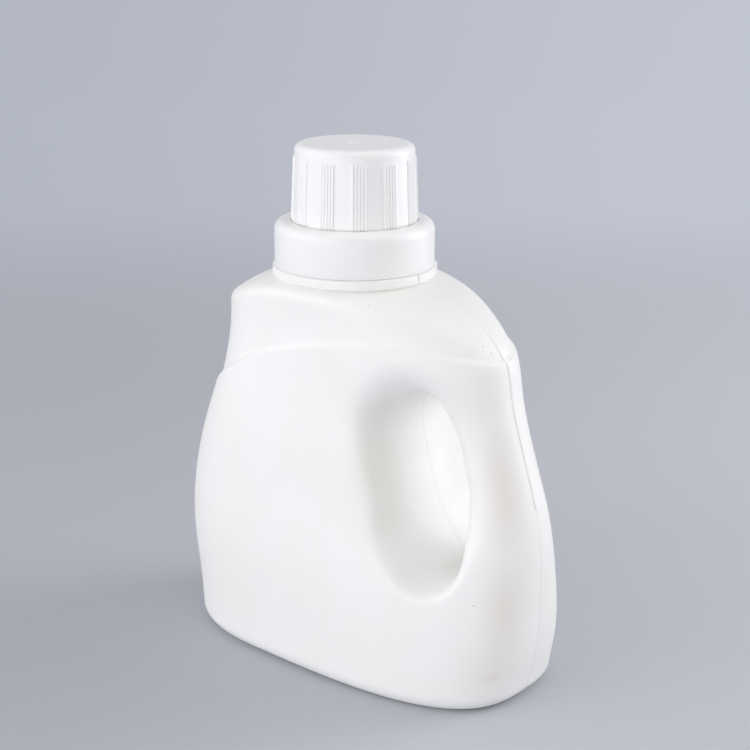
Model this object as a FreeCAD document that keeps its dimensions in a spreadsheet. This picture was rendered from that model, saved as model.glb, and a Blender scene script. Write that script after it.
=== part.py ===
import FreeCAD, Part
import math
import os
import Sketcher

# A blow-moulded laundry detergent bottle with a through handle, a screw-on spout collar and a
# ribbed measuring cap.  +Z is up, +X points to the handle, Y = 0 is the mould's parting plane and
# the origin is the middle of the footprint on the ground.  All sizes are in millimetres.

doc = FreeCAD.newDocument("detergent_bottle")
sheet = doc.addObject("Spreadsheet::Sheet", "dimensions")

DIMENSIONS = [
    # bottle body
    ("body_length", 166.0),        # along X, over the back wall and the handle
    ("body_depth", 89.6),          # along Y, over the two broad faces
    ("body_height", 153.4),        # ground to the underside of the neck ring
    ("body_wall", 1.2),            # blown wall thickness
    ("panel_step", 1.2),           # how far the label panel stands proud of the shoulder
    ("panel_back_drop", 76.4),     # panel's arched top edge just past the back, below the body's top
    ("panel_crown_drop", 20.0),    # the same edge above the middle of the body
    ("panel_handle_drop", 30.4),   # the same edge just past the handle
    ("foot_radius", 6.0),          # rounding round the foot
    ("push_up_height", 1.6),       # hollow under the base
    ("push_up_inset", 13.0),       # from the foot's outline to the hollow
    # opening behind the handle
    ("opening_height", 66.0),      # along the handle, at the parting plane
    ("opening_width", 26.0),       # across the handle, at the parting plane
    ("opening_tilt", 13.0),        # degrees, its top leans away from the handle
    ("opening_setback", 39.7),     # its centre, behind the furthest point of the handle
    ("opening_flare", 15.0),       # how much it widens towards the broad faces
    ("opening_lip", 8.0),          # rounding where it meets the broad faces
    # neck
    ("neck_offset", 10.0),         # neck axis behind the middle of the footprint
    ("neck_height", 16.0),         # above the underside of the neck ring
    ("neck_bore", 25.2),           # radius
    ("neck_wall", 1.8),            # plain neck, at the thread's root
    ("neck_thread", 1.4),          # depth of the neck's thread
    ("ring_lip", 0.8),             # how far the neck ring stands out past the collar
    ("ring_height", 3.4),
    ("ring_shelf", 1.8),           # how far the ring stands out past the top of the shoulder
    ("thread_relief", 2.6),        # plain length between the ring and the thread
    # screw collar with its well and spout
    ("collar_height", 17.2),
    ("collar_seam", 0.3),          # gap between the neck ring and the collar
    ("collar_wall", 1.6),
    ("collar_edge", 4.0),          # rounding of the collar's top edge
    ("collar_clearance", 1.0),     # from the neck's thread band to the collar's wall
    ("well_clearance", 0.3),       # from the well to the neck's bore
    ("well_wall", 1.3),
    ("well_depth", 14.6),          # below the collar's top
    ("ledge_width", 2.0),          # ledge round the well, which the cap's seal sits on
    ("mouth_depth", 2.3),          # down to the ledge from the collar's top
    ("floor_thickness", 1.4),
    ("spout_foot", 13.0),          # outside radius where the spout leaves the floor
    ("spout_taper", 2.0),          # how much smaller that radius is at the lip
    ("spout_height", 23.0),        # above the well's floor
    ("spout_wall", 1.2),
    ("spout_rake", 9.0),           # how much lower the lip is on its low side
    ("drain_radius", 2.5),         # drain-back hole in the well's floor
    # seals
    ("seal_thickness", 1.2),
    ("seal_clearance", 0.3),
    # measuring cap
    ("cap_height", 29.2),          # from the collar's top to the cap's top
    ("cap_gap", 1.4),              # from the collar's mouth to the cap's smooth wall
    ("cap_taper", 1.3),            # how much smaller the wall's radius is at the top
    ("cap_edge", 3.0),             # rounding of the top edge
    ("cap_wall", 1.5),             # the cap's top and its skirt
    ("cap_draft", 0.3),            # how much the inside narrows towards the closed end
    ("skirt_clearance", 0.4),      # from the skirt's thread band to the well
    ("skirt_thread", 1.0),         # depth of the skirt's thread
    ("skirt_length", 11.0),        # skirt below the collar's top
    ("rib_height", 0.45),          # how far the ribs stand proud
    ("rib_width", 0.9),
    ("rib_run", 24.6),             # height of the ribs' top above the collar
    ("rib_pitch", 2.9),            # degrees between the ribs of one group
    ("rib_phase", 15.4),           # degrees from the handle to the middle of the first group
    ("gate_radius", 2.0),          # moulding mark in the middle of the top
    ("gate_depth", 0.35),
]
RIBS_IN_GROUP = 5
RIB_GROUPS = 12
FUSE_DEPTH = 1.0        # how deep a piece is sunk into the one it is fused to
CUT_ROOM = 1.0          # how far a cutting tool reaches past the face it starts from
FILLET_ROOM = 0.1       # straight length left beside a rounding

for row, (alias, value) in enumerate(DIMENSIONS, start=1):
    sheet.set(f"A{row}", alias)
    sheet.set(f"B{row}", str(value))
    sheet.setAlias(f"B{row}", alias)
doc.recompute()


class Size:
    """A length that carries its number and the sheet formula that gives it."""

    def __init__(self, value, text):
        self.value = value
        self.text = text

    def _join(self, other, sign, value):
        return Size(value, f"({self.text} {sign} {wrap(other).text})")

    def __add__(self, other):
        return self._join(other, "+", self.value + wrap(other).value)

    def __sub__(self, other):
        return self._join(other, "-", self.value - wrap(other).value)

    def __mul__(self, other):
        return self._join(other, "*", self.value * wrap(other).value)

    def __truediv__(self, other):
        return self._join(other, "/", self.value / wrap(other).value)

    def __neg__(self):
        return Size(-self.value, f"(0 - {self.text})")


def wrap(number):
    """The number itself if it is a Size already, or a Size made of a plain number."""
    return number if isinstance(number, Size) else Size(float(number), repr(float(number)))


def size(alias):
    """The sheet's value under this alias, as a Size."""
    return Size(float(sheet.get(alias)), f"dimensions.{alias}")


def least(first, second):
    """The smaller of two Sizes."""
    return Size(min(first.value, second.value), f"min({first.text}; {second.text})")


# ---------------------------------------------------------------- sizes that the pieces share

# Heights, from the ground.
ring_top = size("body_height") + size("ring_height")
neck_top = size("body_height") + size("neck_height")
seat = neck_top + size("seal_thickness")
collar_bottom = ring_top + size("collar_seam")
collar_top = collar_bottom + size("collar_height")
ledge = collar_top - size("mouth_depth")
well_floor = collar_top - size("well_depth")
spout_tip = well_floor + size("spout_height")
skirt_bottom = collar_top - size("skirt_length")
cap_top = collar_top + size("cap_height")

# Radii about the neck's axis.  Outwards from the bore: neck, collar and ring.  Inwards from the
# bore: the collar's well and the cap's skirt in it.
neck_bore = size("neck_bore")
neck_root = neck_bore + size("neck_wall")
neck_crest = neck_root + size("neck_thread")
collar_inside = neck_crest + size("collar_clearance")
collar_radius = collar_inside + size("collar_wall")
ring_radius = collar_radius + size("ring_lip")
well_outside = neck_bore - size("well_clearance")
well_radius = well_outside - size("well_wall")
mouth_radius = well_radius + size("ledge_width")
skirt_crest = well_radius - size("skirt_clearance")
skirt_root = skirt_crest - size("skirt_thread")
skirt_inner = skirt_root - size("cap_wall")
cap_foot_radius = mouth_radius - size("cap_gap")
cap_top_radius = cap_foot_radius - size("cap_taper")


# ---------------------------------------------------------------- helpers

UP = FreeCAD.Vector(0, 0, 1)


def plane_of(body, role):
    """One of a body's own origin planes or axes."""
    for feature in body.Origin.OriginFeatures:
        if feature.Role == role:
            return feature
    raise ValueError(role)


def new_body(label):
    """An empty PartDesign body that stands on the neck's axis."""
    body = doc.addObject("PartDesign::Body", label)
    body.Label = label
    body.setExpression("Placement.Base.x", "0 - dimensions.neck_offset")
    return body


def new_sketch(body, name, plane, lift=None):
    """An empty sketch on one of the body's own planes, raised by lift if it is given."""
    sketch = body.newObject("Sketcher::SketchObject", name)
    sketch.AttachmentSupport = (plane_of(body, plane), [""])
    sketch.MapMode = "FlatFace"
    if lift is not None:
        sketch.setExpression("AttachmentOffset.Base.z", lift.text)
    return sketch


def hold(sketch, geometry, position, x, y):
    """Binds a point of the sketch to two distances from the sketch's origin."""
    for kind, distance in (("DistanceX", wrap(x)), ("DistanceY", wrap(y))):
        constraint = Sketcher.Constraint(kind, -1, 1, geometry, position, distance.value)
        held = sketch.addConstraint(constraint)
        sketch.setExpression(f"Constraints[{held}]", distance.text)


def add_lines(sketch, corners, closed=True):
    """A chain of straight lines through the corners, each corner bound to the sheet."""
    points = [FreeCAD.Vector(wrap(x).value, wrap(y).value, 0) for x, y in corners]
    ends = points[1:] + points[:1] if closed else points[1:]
    for start, end in zip(points, ends):
        sketch.addGeometry(Part.LineSegment(start, end), False)
    count = len(ends)
    for index in range(count if closed else count - 1):
        following = (index + 1) % count
        sketch.addConstraint(Sketcher.Constraint("Coincident", index, 2, following, 1))
    for index, (x, y) in enumerate(corners[:count]):
        hold(sketch, index, 1, x, y)
    if not closed:
        hold(sketch, count - 1, 2, *corners[-1])


def add_circle(sketch, x, radius):
    """A circle whose centre is on the sketch's horizontal axis."""
    centre = FreeCAD.Vector(wrap(x).value, 0, 0)
    sketch.addGeometry(Part.Circle(centre, UP, radius.value), False)
    hold(sketch, 0, 3, x, 0)
    held = sketch.addConstraint(Sketcher.Constraint("Radius", 0, radius.value))
    sketch.setExpression(f"Constraints[{held}]", radius.text)


def turned(body, name, corners):
    """A solid of revolution about the neck's axis, from an outline of (radius, height) corners."""
    sketch = new_sketch(body, name + "_outline", "XZ_Plane")
    add_lines(sketch, corners)
    revolution = body.newObject("PartDesign::Revolution", name)
    revolution.Profile = sketch
    revolution.ReferenceAxis = (sketch, ["V_Axis"])
    revolution.Angle = 360
    doc.recompute()


def pocket(body, name, sketch, depth, midplane=False):
    """Cuts the sketch's outline out of the body's last feature."""
    cut = body.newObject("PartDesign::Pocket", name)
    cut.Profile = sketch
    cut.Midplane = midplane
    cut.Length = depth.value
    cut.setExpression("Length", depth.text)
    doc.recompute()


def rounded(body, name, radius, height, rounding):
    """Rounds the ring edge of a turned body that has this radius and height."""
    tip = body.Tip
    rings = []
    for number, edge in enumerate(tip.Shape.Edges, start=1):
        if isinstance(edge.Curve, Part.Circle):
            off_radius = abs(edge.Curve.Radius - radius.value)
            off_height = abs(edge.Curve.Center.z - height.value)
            if max(off_radius, off_height) < SAME_PLACE:
                rings.append(f"Edge{number}")
    fillet = body.newObject("PartDesign::Fillet", name)
    fillet.Base = (tip, rings)
    fillet.Radius = rounding.value
    fillet.setExpression("Radius", rounding.text)
    doc.recompute()


SAME_PLACE = 1e-3


# ---------------------------------------------------------------- bottle body

# The body's plan outline changes with height.  A station gives, for one share of the body's
# height: how far the back and the handle end reach, as shares of half the length, the half depth
# as a share of half the body's depth, and the fullness of both ends (2 is an ellipse, more is
# squarer).  The widest point is the same share of half the length at each of them.
BODY_STATIONS = [
    (0.000, 0.933, 0.933, 0.982, 2.55, 2.80),
    (0.130, 0.952, 0.975, 0.989, 2.55, 2.60),
    (0.293, 0.999, 0.999, 0.993, 2.55, 2.30),
    (0.456, 0.968, 0.971, 0.960, 2.55, 2.05),
    (0.619, 0.868, 0.881, 0.915, 2.55, 2.05),
    (0.769, 0.800, 0.803, 0.857, 2.55, 2.20),
    (0.847, 0.796, 0.764, 0.830, 2.55, 2.30),
]
WIDEST = -0.301
# Above them the outline closes in on the ring's foot.  The shares run from the ring's foot (0) to
# the last body station (1): share of height, back, handle end, half depth, both fullnesses, and
# the widest point.
SHOULDER_STATIONS = [
    (0.906, 0.823, 0.759, 0.764, 2.50, 2.50, 0.530),
    (0.952, 0.480, 0.494, 0.500, 2.30, 2.40, 0.130),
    (0.984, 0.134, 0.172, 0.222, 2.10, 2.20, 0.000),
]
ROUND_END = 2.0
LOFT_DEGREE = 3
OPENING_LEVEL = 0.518   # centre of the handle opening, as a share of the body's height
OPENING_FULLNESS = 2.3
FLARE_STEPS = (0.0, 0.42, 0.70, 0.88, 0.98)   # shares of half the depth
FLARE_LIMIT = 0.985
FLARE_OVERRUN = 0.2     # how far the opening's tool runs past the broad faces, in the same shares

half_length = size("body_length").value / 2
half_depth = size("body_depth").value / 2
body_height = size("body_height").value
body_wall = size("body_wall").value
panel_step = size("panel_step").value
neck_x = -size("neck_offset").value
ring_foot = ring_radius.value - size("ring_shelf").value


def handle_length(fullness):
    """Bezier handle of a quarter outline, so that its middle lies on the superellipse."""
    return (8 * 2 ** (-1 / fullness) - 4) / 3


def oval_wire(centre, back, front, half, back_fullness, front_fullness, place):
    """A closed outline of four quarter curves.  place turns plan coordinates into a point."""
    k_back = handle_length(back_fullness)
    k_front = handle_length(front_fullness)
    quarters = []
    for reach, k, side in (
        (front, k_front, 1),
        (-back, k_back, 1),
        (-back, k_back, -1),
        (front, k_front, -1),
    ):
        corners = [
            (centre + reach, 0),
            (centre + reach, side * half * k),
            (centre + reach * k, side * half),
            (centre, side * half),
        ]
        if reach * side < 0:
            corners.reverse()
        curve = Part.BezierCurve()
        curve.setPoles([place(x, y) for x, y in corners])
        quarters.append(curve.toShape())
    return Part.Wire(quarters)


def level(height):
    """Turns plan coordinates into points at this height."""
    return lambda x, y: FreeCAD.Vector(x, y, height)


def between(low, high, share):
    """The value at this share of the way from low to high."""
    return low + (high - low) * share


def body_outlines():
    """For each station: height, widest point, reach to the back and to the handle from there,
    half depth, and the two fullnesses."""
    outlines = []
    widest = WIDEST * half_length
    for share, back, front, deep, back_full, front_full in BODY_STATIONS:
        reach_back = back * half_length + widest
        reach_front = front * half_length - widest
        half = deep * half_depth
        height = share * body_height
        outlines.append((height, widest, reach_back, reach_front, half, back_full, front_full))
    _, _, last_back, last_front, last_half, _, _ = outlines[-1]
    for share, back, front, deep, back_full, front_full, middle in SHOULDER_STATIONS:
        centre = between(neck_x, widest, middle)
        back_end = between(neck_x - ring_foot, widest - last_back, back)
        front_end = between(neck_x + ring_foot, widest + last_front, front)
        half = between(ring_foot, last_half, deep)
        height = share * body_height
        reaches = (centre - back_end, front_end - centre)
        outlines.append((height, centre, *reaches, half, back_full, front_full))
    return outlines


def envelope(grow, roof_gap):
    """The closed outside of the body without its opening, grown outwards by this much (a negative
    amount shrinks it, and lifts its floor).  roof_gap lowers its top face."""
    sections = []
    for height, centre, back, front, half, back_full, front_full in body_outlines():
        place = level(height if height > 0 else -grow)
        ends = (back + grow, front + grow, half + grow)
        sections.append(oval_wire(centre, *ends, back_full, front_full, place))
    top = ring_foot + grow
    place = level(body_height - roof_gap)
    sections.append(oval_wire(neck_x, top, top, top, ROUND_END, ROUND_END, place))
    return Part.makeLoft(sections, True, False, False, LOFT_DEGREE)


def flare_at(depth):
    """How far the opening has widened at this depth from the parting plane: a quarter ellipse
    that is upright at the parting plane and nearly flat at the broad faces."""
    share = min(depth / (half_depth - panel_step), FLARE_LIMIT)
    return size("opening_flare").value * (1 - math.sqrt(1 - share**2))


def opening_tool(grow):
    """The space behind the handle as a solid: leaning ovals lofted from face to face."""
    tilt = math.radians(size("opening_tilt").value)
    along = (math.cos(tilt), math.sin(tilt))
    middle_x = half_length - size("opening_setback").value
    middle_z = OPENING_LEVEL * body_height

    def leaning(depth):
        """Turns the opening's own coordinates into points at this depth."""
        return lambda u, w: FreeCAD.Vector(
            middle_x + u * along[0] - w * along[1],
            depth,
            middle_z + u * along[1] + w * along[0],
        )

    levels = [(share * half_depth, flare_at(share * half_depth)) for share in FLARE_STEPS]
    overrun = FLARE_OVERRUN * half_depth
    levels.append((levels[-1][0] + overrun, levels[-1][1] + overrun))
    mirrored = [(-depth, flare) for depth, flare in reversed(levels[1:])]
    ovals = []
    for depth, flare in mirrored + levels:
        half_width = size("opening_width").value / 2 + flare + grow
        half_height = size("opening_height").value / 2 + flare + grow
        ends = (half_width, half_width, half_height)
        ovals.append(oval_wire(0, *ends, OPENING_FULLNESS, OPENING_FULLNESS, leaning(depth)))
    return Part.makeLoft(ovals, True, False, False, LOFT_DEGREE)


def solid_feature(name, shape):
    """A document object for a freeform solid that no sketch or primitive gives."""
    feature = doc.addObject("Part::Feature", name)
    feature.Shape = shape
    return feature


def combined(kind, name, base, tool):
    """One boolean step: kind is Cut, Fuse or Common."""
    result = doc.addObject(f"Part::{kind}", name)
    result.Base = base
    result.Tool = tool
    doc.recompute()
    return result


def rounded_edges(name, base, test, radius):
    """Rounds the edges whose middle point passes the test."""
    numbers = []
    for number, edge in enumerate(base.Shape.Edges, start=1):
        first, last = edge.ParameterRange
        if test(edge.valueAt((first + last) / 2)):
            numbers.append(number)
    fillet = doc.addObject("Part::Fillet", name)
    fillet.Base = base
    fillet.Edges = [(number, radius, radius) for number in numbers]
    doc.recompute()
    return fillet


def lies_on(point, shape):
    """True where the point is on the shape's surface."""
    return shape.distToShape(Part.Vertex(point))[0] < SAME_PLACE


def panel_region(name, lower):
    """The prism, arched on top, that the label panel fills.  lower drops the arched edge."""
    body = doc.addObject("PartDesign::Body", name)
    body.Label = name
    sketch = new_sketch(body, name + "_arch", "XZ_Plane")
    reach = size("body_length") * 0.5 + PANEL_OVERRUN
    top = size("body_height") - lower
    back = (-reach, top - size("panel_back_drop"))
    front = (reach, top - size("panel_handle_drop"))
    crown_height = top - size("panel_crown_drop")
    add_lines(sketch, [back, (-reach, -PANEL_OVERRUN), (reach, -PANEL_OVERRUN), front], closed=False)
    # the arch runs back from the handle's side over the crown, and closes the outline
    points = [
        FreeCAD.Vector(front[0].value, front[1].value, 0),
        FreeCAD.Vector(0, crown_height.value, 0),
        FreeCAD.Vector(back[0].value, back[1].value, 0),
    ]
    arch = sketch.addGeometry(Part.Arc(*points), False)
    crown = sketch.addGeometry(Part.Point(points[1]), True)
    sketch.addConstraint(Sketcher.Constraint("Coincident", arch - 1, 2, arch, 1))
    sketch.addConstraint(Sketcher.Constraint("Coincident", arch, 2, 0, 1))
    sketch.addConstraint(Sketcher.Constraint("PointOnObject", crown, 1, arch))
    hold(sketch, crown, 1, 0, crown_height)
    pad = body.newObject("PartDesign::Pad", name + "_pad")
    pad.Profile = sketch
    pad.Midplane = True
    depth = size("body_depth") + PANEL_OVERRUN
    pad.Length = depth.value
    pad.setExpression("Length", depth.text)
    doc.recompute()
    return body


PANEL_OVERRUN = 5.0     # how far the prism reaches past the body


def blown_form(name, inset):
    """The body's form without its neck, shrunk by inset all round: shoulder, proud label panel,
    rounded foot and handle opening.  An inset of 0 is the outside, body_wall is the hollow."""
    shoulder = solid_feature(name + "_shoulder", envelope(-panel_step - inset.value, inset.value))
    panel = solid_feature(name + "_panel", envelope(-inset.value, inset.value))
    region = panel_region(name + "_panel_region", inset)
    proud = combined("Common", name + "_proud_panel", panel, region)
    blank = combined("Fuse", name + "_blank", shoulder, proud)
    footed = rounded_edges(
        name + "_foot",
        blank,
        lambda point: abs(point.z - inset.value) < SAME_PLACE,
        size("foot_radius").value - inset.value,
    )
    opening = solid_feature(name + "_opening", opening_tool(inset.value))
    opened = combined("Cut", name + "_opened", footed, opening)
    return rounded_edges(
        name + "_lip",
        opened,
        lambda point: lies_on(point, opening.Shape) and lies_on(point, footed.Shape),
        size("opening_lip").value - inset.value,
    )


def push_up(name, inset, floor):
    """The shallow hollow under the base, as a solid that starts just below this floor."""
    _, centre, back, front, half, back_full, front_full = body_outlines()[0]
    ends = (back - inset, front - inset, half - inset)
    outline = oval_wire(centre, *ends, back_full, front_full, level(floor - CUT_ROOM))
    rise = FreeCAD.Vector(0, 0, size("push_up_height").value + CUT_ROOM)
    return solid_feature(name, Part.Face(outline).extrude(rise))


push_inset = size("push_up_inset").value
base_hollow = push_up("base_hollow", push_inset, 0.0)
outside = combined("Cut", "outside_with_push_up", blown_form("outside", wrap(0)), base_hollow)
raised_floor = push_up("raised_floor", push_inset - body_wall, body_wall)
hollow_form = blown_form("hollow", size("body_wall"))
hollow = combined("Cut", "hollow_with_push_up", hollow_form, raised_floor)

# The neck: a ring that the collar seats above, a plain neck and a band as thick as its thread.
neck_foot = size("body_height") - FUSE_DEPTH
band_bottom = ring_top + size("thread_relief")
band_top = neck_top - size("thread_relief") * 0.5
neck = new_body("neck_form")
turned(
    neck,
    "neck_turned",
    [
        (neck_bore, neck_foot),
        (neck_root, neck_foot),
        (neck_root, size("body_height")),
        (ring_radius, size("body_height")),
        (ring_radius, ring_top),
        (neck_root, ring_top),
        (neck_root, band_bottom),
        (neck_crest, band_bottom),
        (neck_crest, band_top),
        (neck_root, band_top),
        (neck_root, neck_top),
        (neck_bore, neck_top),
    ],
)
rounded(neck, "ring_edge", ring_radius, ring_top, size("ring_height") * 0.2)

bore_foot = size("body_height") - size("body_wall") - CUT_ROOM
bore = doc.addObject("Part::Cylinder", "neck_bore_space")
bore.setExpression("Radius", neck_bore.text)
bore.setExpression("Height", (neck_top - bore_foot + CUT_ROOM).text)
bore.setExpression("Placement.Base.x", "0 - dimensions.neck_offset")
bore.setExpression("Placement.Base.z", bore_foot.text)

blown = combined("Fuse", "outside_with_neck", outside, neck)
bored = combined("Cut", "outside_bored", blown, bore)
bottle = combined("Cut", "bottle", bored, hollow)
bottle.Label = "bottle"

# ---------------------------------------------------------------- seals


def washer(label, inner, outer, bottom):
    """A flat ring of seal_thickness."""
    body = new_body(label)
    top = bottom + size("seal_thickness")
    turned(body, label + "_turned", [(inner, bottom), (outer, bottom), (outer, top), (inner, top)])
    return body


seal_clearance = size("seal_clearance")
neck_gasket = washer("neck_gasket", neck_bore, neck_root, neck_top)
cap_gasket = washer("cap_gasket", skirt_root + seal_clearance, mouth_radius - seal_clearance, ledge)

# ---------------------------------------------------------------- screw collar

# From outside in: the skirt that screws on the neck, the rounded top, the mouth with its ledge,
# the well that hangs in the neck, the well's floor and the spout that stands on the floor.
seat_edge = neck_root + seal_clearance
collar_roof = collar_top - size("collar_wall")
floor_bottom = well_floor - size("floor_thickness")
spout_tip_radius = size("spout_foot") - size("spout_taper")
collar = new_body("spout_collar")
turned(
    collar,
    "collar_turned",
    [
        (collar_inside, collar_bottom),
        (collar_radius, collar_bottom),
        (collar_radius, collar_top),
        (mouth_radius, collar_top),
        (mouth_radius, ledge),
        (well_radius, ledge),
        (well_radius, well_floor),
        (size("spout_foot"), well_floor),
        (spout_tip_radius, spout_tip),
        (spout_tip_radius - size("spout_wall"), spout_tip),
        (size("spout_foot") - size("spout_wall"), floor_bottom),
        (well_outside, floor_bottom),
        (well_outside, seat),
        (seat_edge, seat),
        (seat_edge, collar_roof),
        (collar_inside, collar_roof),
    ],
)
rounded(collar, "collar_top_edge", collar_radius, collar_top, size("collar_edge"))
roof_room = collar_inside - seat_edge - FILLET_ROOM
roof_rounding = least(size("collar_edge") - size("collar_wall"), roof_room)
rounded(collar, "collar_roof_edge", collar_inside, collar_roof, roof_rounding)

# The lip of the spout is raked: a wedge is taken off it, deepest at the back.
wedge_reach = size("spout_foot")
wedge_top = spout_tip + CUT_ROOM
rake = new_sketch(collar, "spout_rake_outline", "XZ_Plane")
add_lines(
    rake,
    [
        (-wedge_reach, spout_tip - size("spout_rake")),
        (wedge_reach, spout_tip),
        (wedge_reach, wedge_top),
        (-wedge_reach, wedge_top),
    ],
)
pocket(collar, "spout_raked", rake, wedge_reach * 2, midplane=True)

# The drain-back hole lets drips run home from the well, on the spout's low side.
drain_outline = new_sketch(collar, "drain_outline", "XY_Plane", well_floor + CUT_ROOM)
add_circle(drain_outline, -(well_radius + size("spout_foot")) * 0.5, size("drain_radius"))
pocket(collar, "drain_hole", drain_outline, size("floor_thickness") + CUT_ROOM * 2)

# ---------------------------------------------------------------- measuring cap

# The cap is a cup turned upside down.  Its ribbed wall stands on the seal, and below a shoulder
# its skirt goes down into the well.
shoulder = ledge + size("seal_thickness")
skirt_band_top = ledge - size("thread_relief") * 0.5
wall_top = cap_top - size("cap_edge") - FILLET_ROOM
cap_ceiling = cap_top - size("cap_wall")
cap = new_body("measuring_cap")
turned(
    cap,
    "cap_turned",
    [
        (skirt_inner, skirt_bottom),
        (skirt_crest, skirt_bottom),
        (skirt_crest, skirt_band_top),
        (skirt_root, skirt_band_top),
        (skirt_root, shoulder),
        (cap_foot_radius, shoulder),
        (cap_foot_radius, collar_top),
        (cap_top_radius, wall_top),
        (cap_top_radius, cap_top),
        (0, cap_top),
        (0, cap_ceiling),
        (skirt_inner - size("cap_draft"), cap_ceiling),
        (skirt_inner, ledge),
    ],
)
rounded(cap, "cap_top_edge", cap_top_radius, cap_top, size("cap_edge"))

rib_foot = collar_top + FILLET_ROOM
rib_top = collar_top + size("rib_run")
rib_top_radius = cap_foot_radius - size("cap_taper") * (size("rib_run") / (wall_top - collar_top))


def rib_section(name, turn, radius, height):
    """The rectangle of one rib at one height, buried in the wall and turned about the axis."""
    sketch = new_sketch(cap, name, "XY_Plane")
    sketch.AttachmentOffset = FreeCAD.Placement(UP * height.value, FreeCAD.Rotation(UP, turn.value))
    sketch.setExpression("AttachmentOffset.Base.z", height.text)
    sketch.setExpression("AttachmentOffset.Rotation.Angle", turn.text)
    side = size("rib_width") * 0.5
    inner = radius - size("cap_wall") * 0.5
    outer = radius + size("rib_height")
    add_lines(sketch, [(inner, -side), (outer, -side), (outer, side), (inner, side)])
    return sketch


ribs = []
for number in range(RIBS_IN_GROUP):
    turn = size("rib_phase") + size("rib_pitch") * (number - (RIBS_IN_GROUP - 1) / 2)
    rib = cap.newObject("PartDesign::AdditiveLoft", f"rib_{number}")
    rib.Profile = rib_section(f"rib_{number}_foot", turn, cap_foot_radius, rib_foot)
    rib.Sections = [rib_section(f"rib_{number}_top", turn, rib_top_radius, rib_top)]
    doc.recompute()
    ribs.append(rib)
groups = cap.newObject("PartDesign::PolarPattern", "rib_groups")
groups.Originals = ribs
groups.Axis = (plane_of(cap, "Z_Axis"), [""])
groups.Angle = 360
groups.Occurrences = RIB_GROUPS
cap.Tip = groups
doc.recompute()

# A small dimple in the middle of the top, where the cap was filled in its mould.
gate_outline = new_sketch(cap, "gate_outline", "XY_Plane", cap_top)
add_circle(gate_outline, 0, size("gate_radius"))
pocket(cap, "gate_mark", gate_outline, size("gate_depth"))

# ---------------------------------------------------------------- checks and files

NODES = [bottle, neck_gasket, collar, cap_gasket, cap]

for item in doc.Objects:
    if "Invalid" in item.State or "Error" in item.State:
        raise RuntimeError(f"{item.Name} did not build: {item.State}")

os.makedirs("parts", exist_ok=True)
for node in NODES:
    shape = node.Shape
    if shape.isNull() or not shape.isValid() or len(shape.Solids) != 1:
        raise RuntimeError(f"{node.Label} is not one valid solid")
    shape.exportStep(f"parts/{node.Label}.step")
    box = shape.BoundBox
    print(
        f"{node.Label}: {shape.Volume / 1000:.2f} cm3, "
        f"x {box.XMin:.2f} to {box.XMax:.2f}, z {box.ZMin:.2f} to {box.ZMax:.2f}"
    )
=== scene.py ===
# %% [markdown]
# # A blow-moulded detergent bottle
# The bottle is one hollow blowing of white polyethylene with a handle that the hand goes through.
# On its neck sits a screw collar with a pouring spout, and in the collar a ribbed measuring cap.
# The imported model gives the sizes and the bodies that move; this script gives every piece the
# surface that the real one has.  All lengths below are millimetres until a mesh is made.

import math

import bmesh
import bpy
import numpy as np
from mathutils import Matrix, Vector


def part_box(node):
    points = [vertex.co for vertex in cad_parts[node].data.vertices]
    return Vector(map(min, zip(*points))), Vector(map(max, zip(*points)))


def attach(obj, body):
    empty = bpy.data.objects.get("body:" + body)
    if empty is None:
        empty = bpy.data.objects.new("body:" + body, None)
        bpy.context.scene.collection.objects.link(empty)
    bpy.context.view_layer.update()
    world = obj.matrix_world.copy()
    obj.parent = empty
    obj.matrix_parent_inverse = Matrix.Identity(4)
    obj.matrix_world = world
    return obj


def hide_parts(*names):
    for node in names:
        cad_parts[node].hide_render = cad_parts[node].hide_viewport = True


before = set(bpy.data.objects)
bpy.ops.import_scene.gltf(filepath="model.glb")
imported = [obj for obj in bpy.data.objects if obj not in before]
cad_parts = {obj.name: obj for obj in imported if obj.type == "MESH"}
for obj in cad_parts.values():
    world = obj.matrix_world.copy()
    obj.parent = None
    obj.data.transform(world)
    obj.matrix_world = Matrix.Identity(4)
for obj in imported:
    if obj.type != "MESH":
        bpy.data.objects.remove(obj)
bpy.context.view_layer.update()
METRES = 0.001


def node_box(node):
    """A node's lowest and highest corner, in millimetres."""
    low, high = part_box(node)
    return np.array(low) / METRES, np.array(high) / METRES


# %% [markdown]
# ## Camera
# A long lens a little above the bottle, turned so that the handle comes towards the viewer.  It
# could simply be pointed at the bottle; its place, heading, pitch and roll are written out so that
# each can be set on its own.  It comes first, because everything after it is judged through it.

# %% Camera
CAMERA_PLACE = (0.36535, -0.42767, 0.29027)
CAMERA_HEADING = (-0.6487, 0.7610)      # level part of the viewing direction
CAMERA_PITCH = math.radians(17.49)      # downwards
CAMERA_ROLL = math.radians(0.364)

camera = bpy.data.objects.new("camera", bpy.data.cameras.new("camera"))
camera.data.sensor_width = 36
camera.data.lens = 72
camera.data.clip_end = 20
level_x, level_y = (part * math.cos(CAMERA_PITCH) for part in CAMERA_HEADING)
looking = Vector((level_x, level_y, -math.sin(CAMERA_PITCH)))
turn = looking.to_track_quat("-Z", "Y").to_matrix().to_4x4()
camera.matrix_world = (
    Matrix.Translation(CAMERA_PLACE) @ turn @ Matrix.Rotation(CAMERA_ROLL, 4, "Z")
)
bpy.context.scene.collection.objects.link(camera)
bpy.context.scene.camera = camera
bpy.context.scene.view_settings.view_transform = "Standard"
print("camera looks along", [round(part, 3) for part in looking])

# %% [markdown]
# ## Tools for surfaces
# Every piece is made of sheets: a sheet is a grid of points worked out from two parameters as
# whole arrays.  Sheets that share an edge use the same points there, so that merging doubles
# closes the seam.

# %% Sheets, seams and meshes
WELD = 2e-6          # metres between points that are one point
SHARP = math.radians(50)
HALVINGS = 34        # enough to find a place to a millionth of a millimetre


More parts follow.
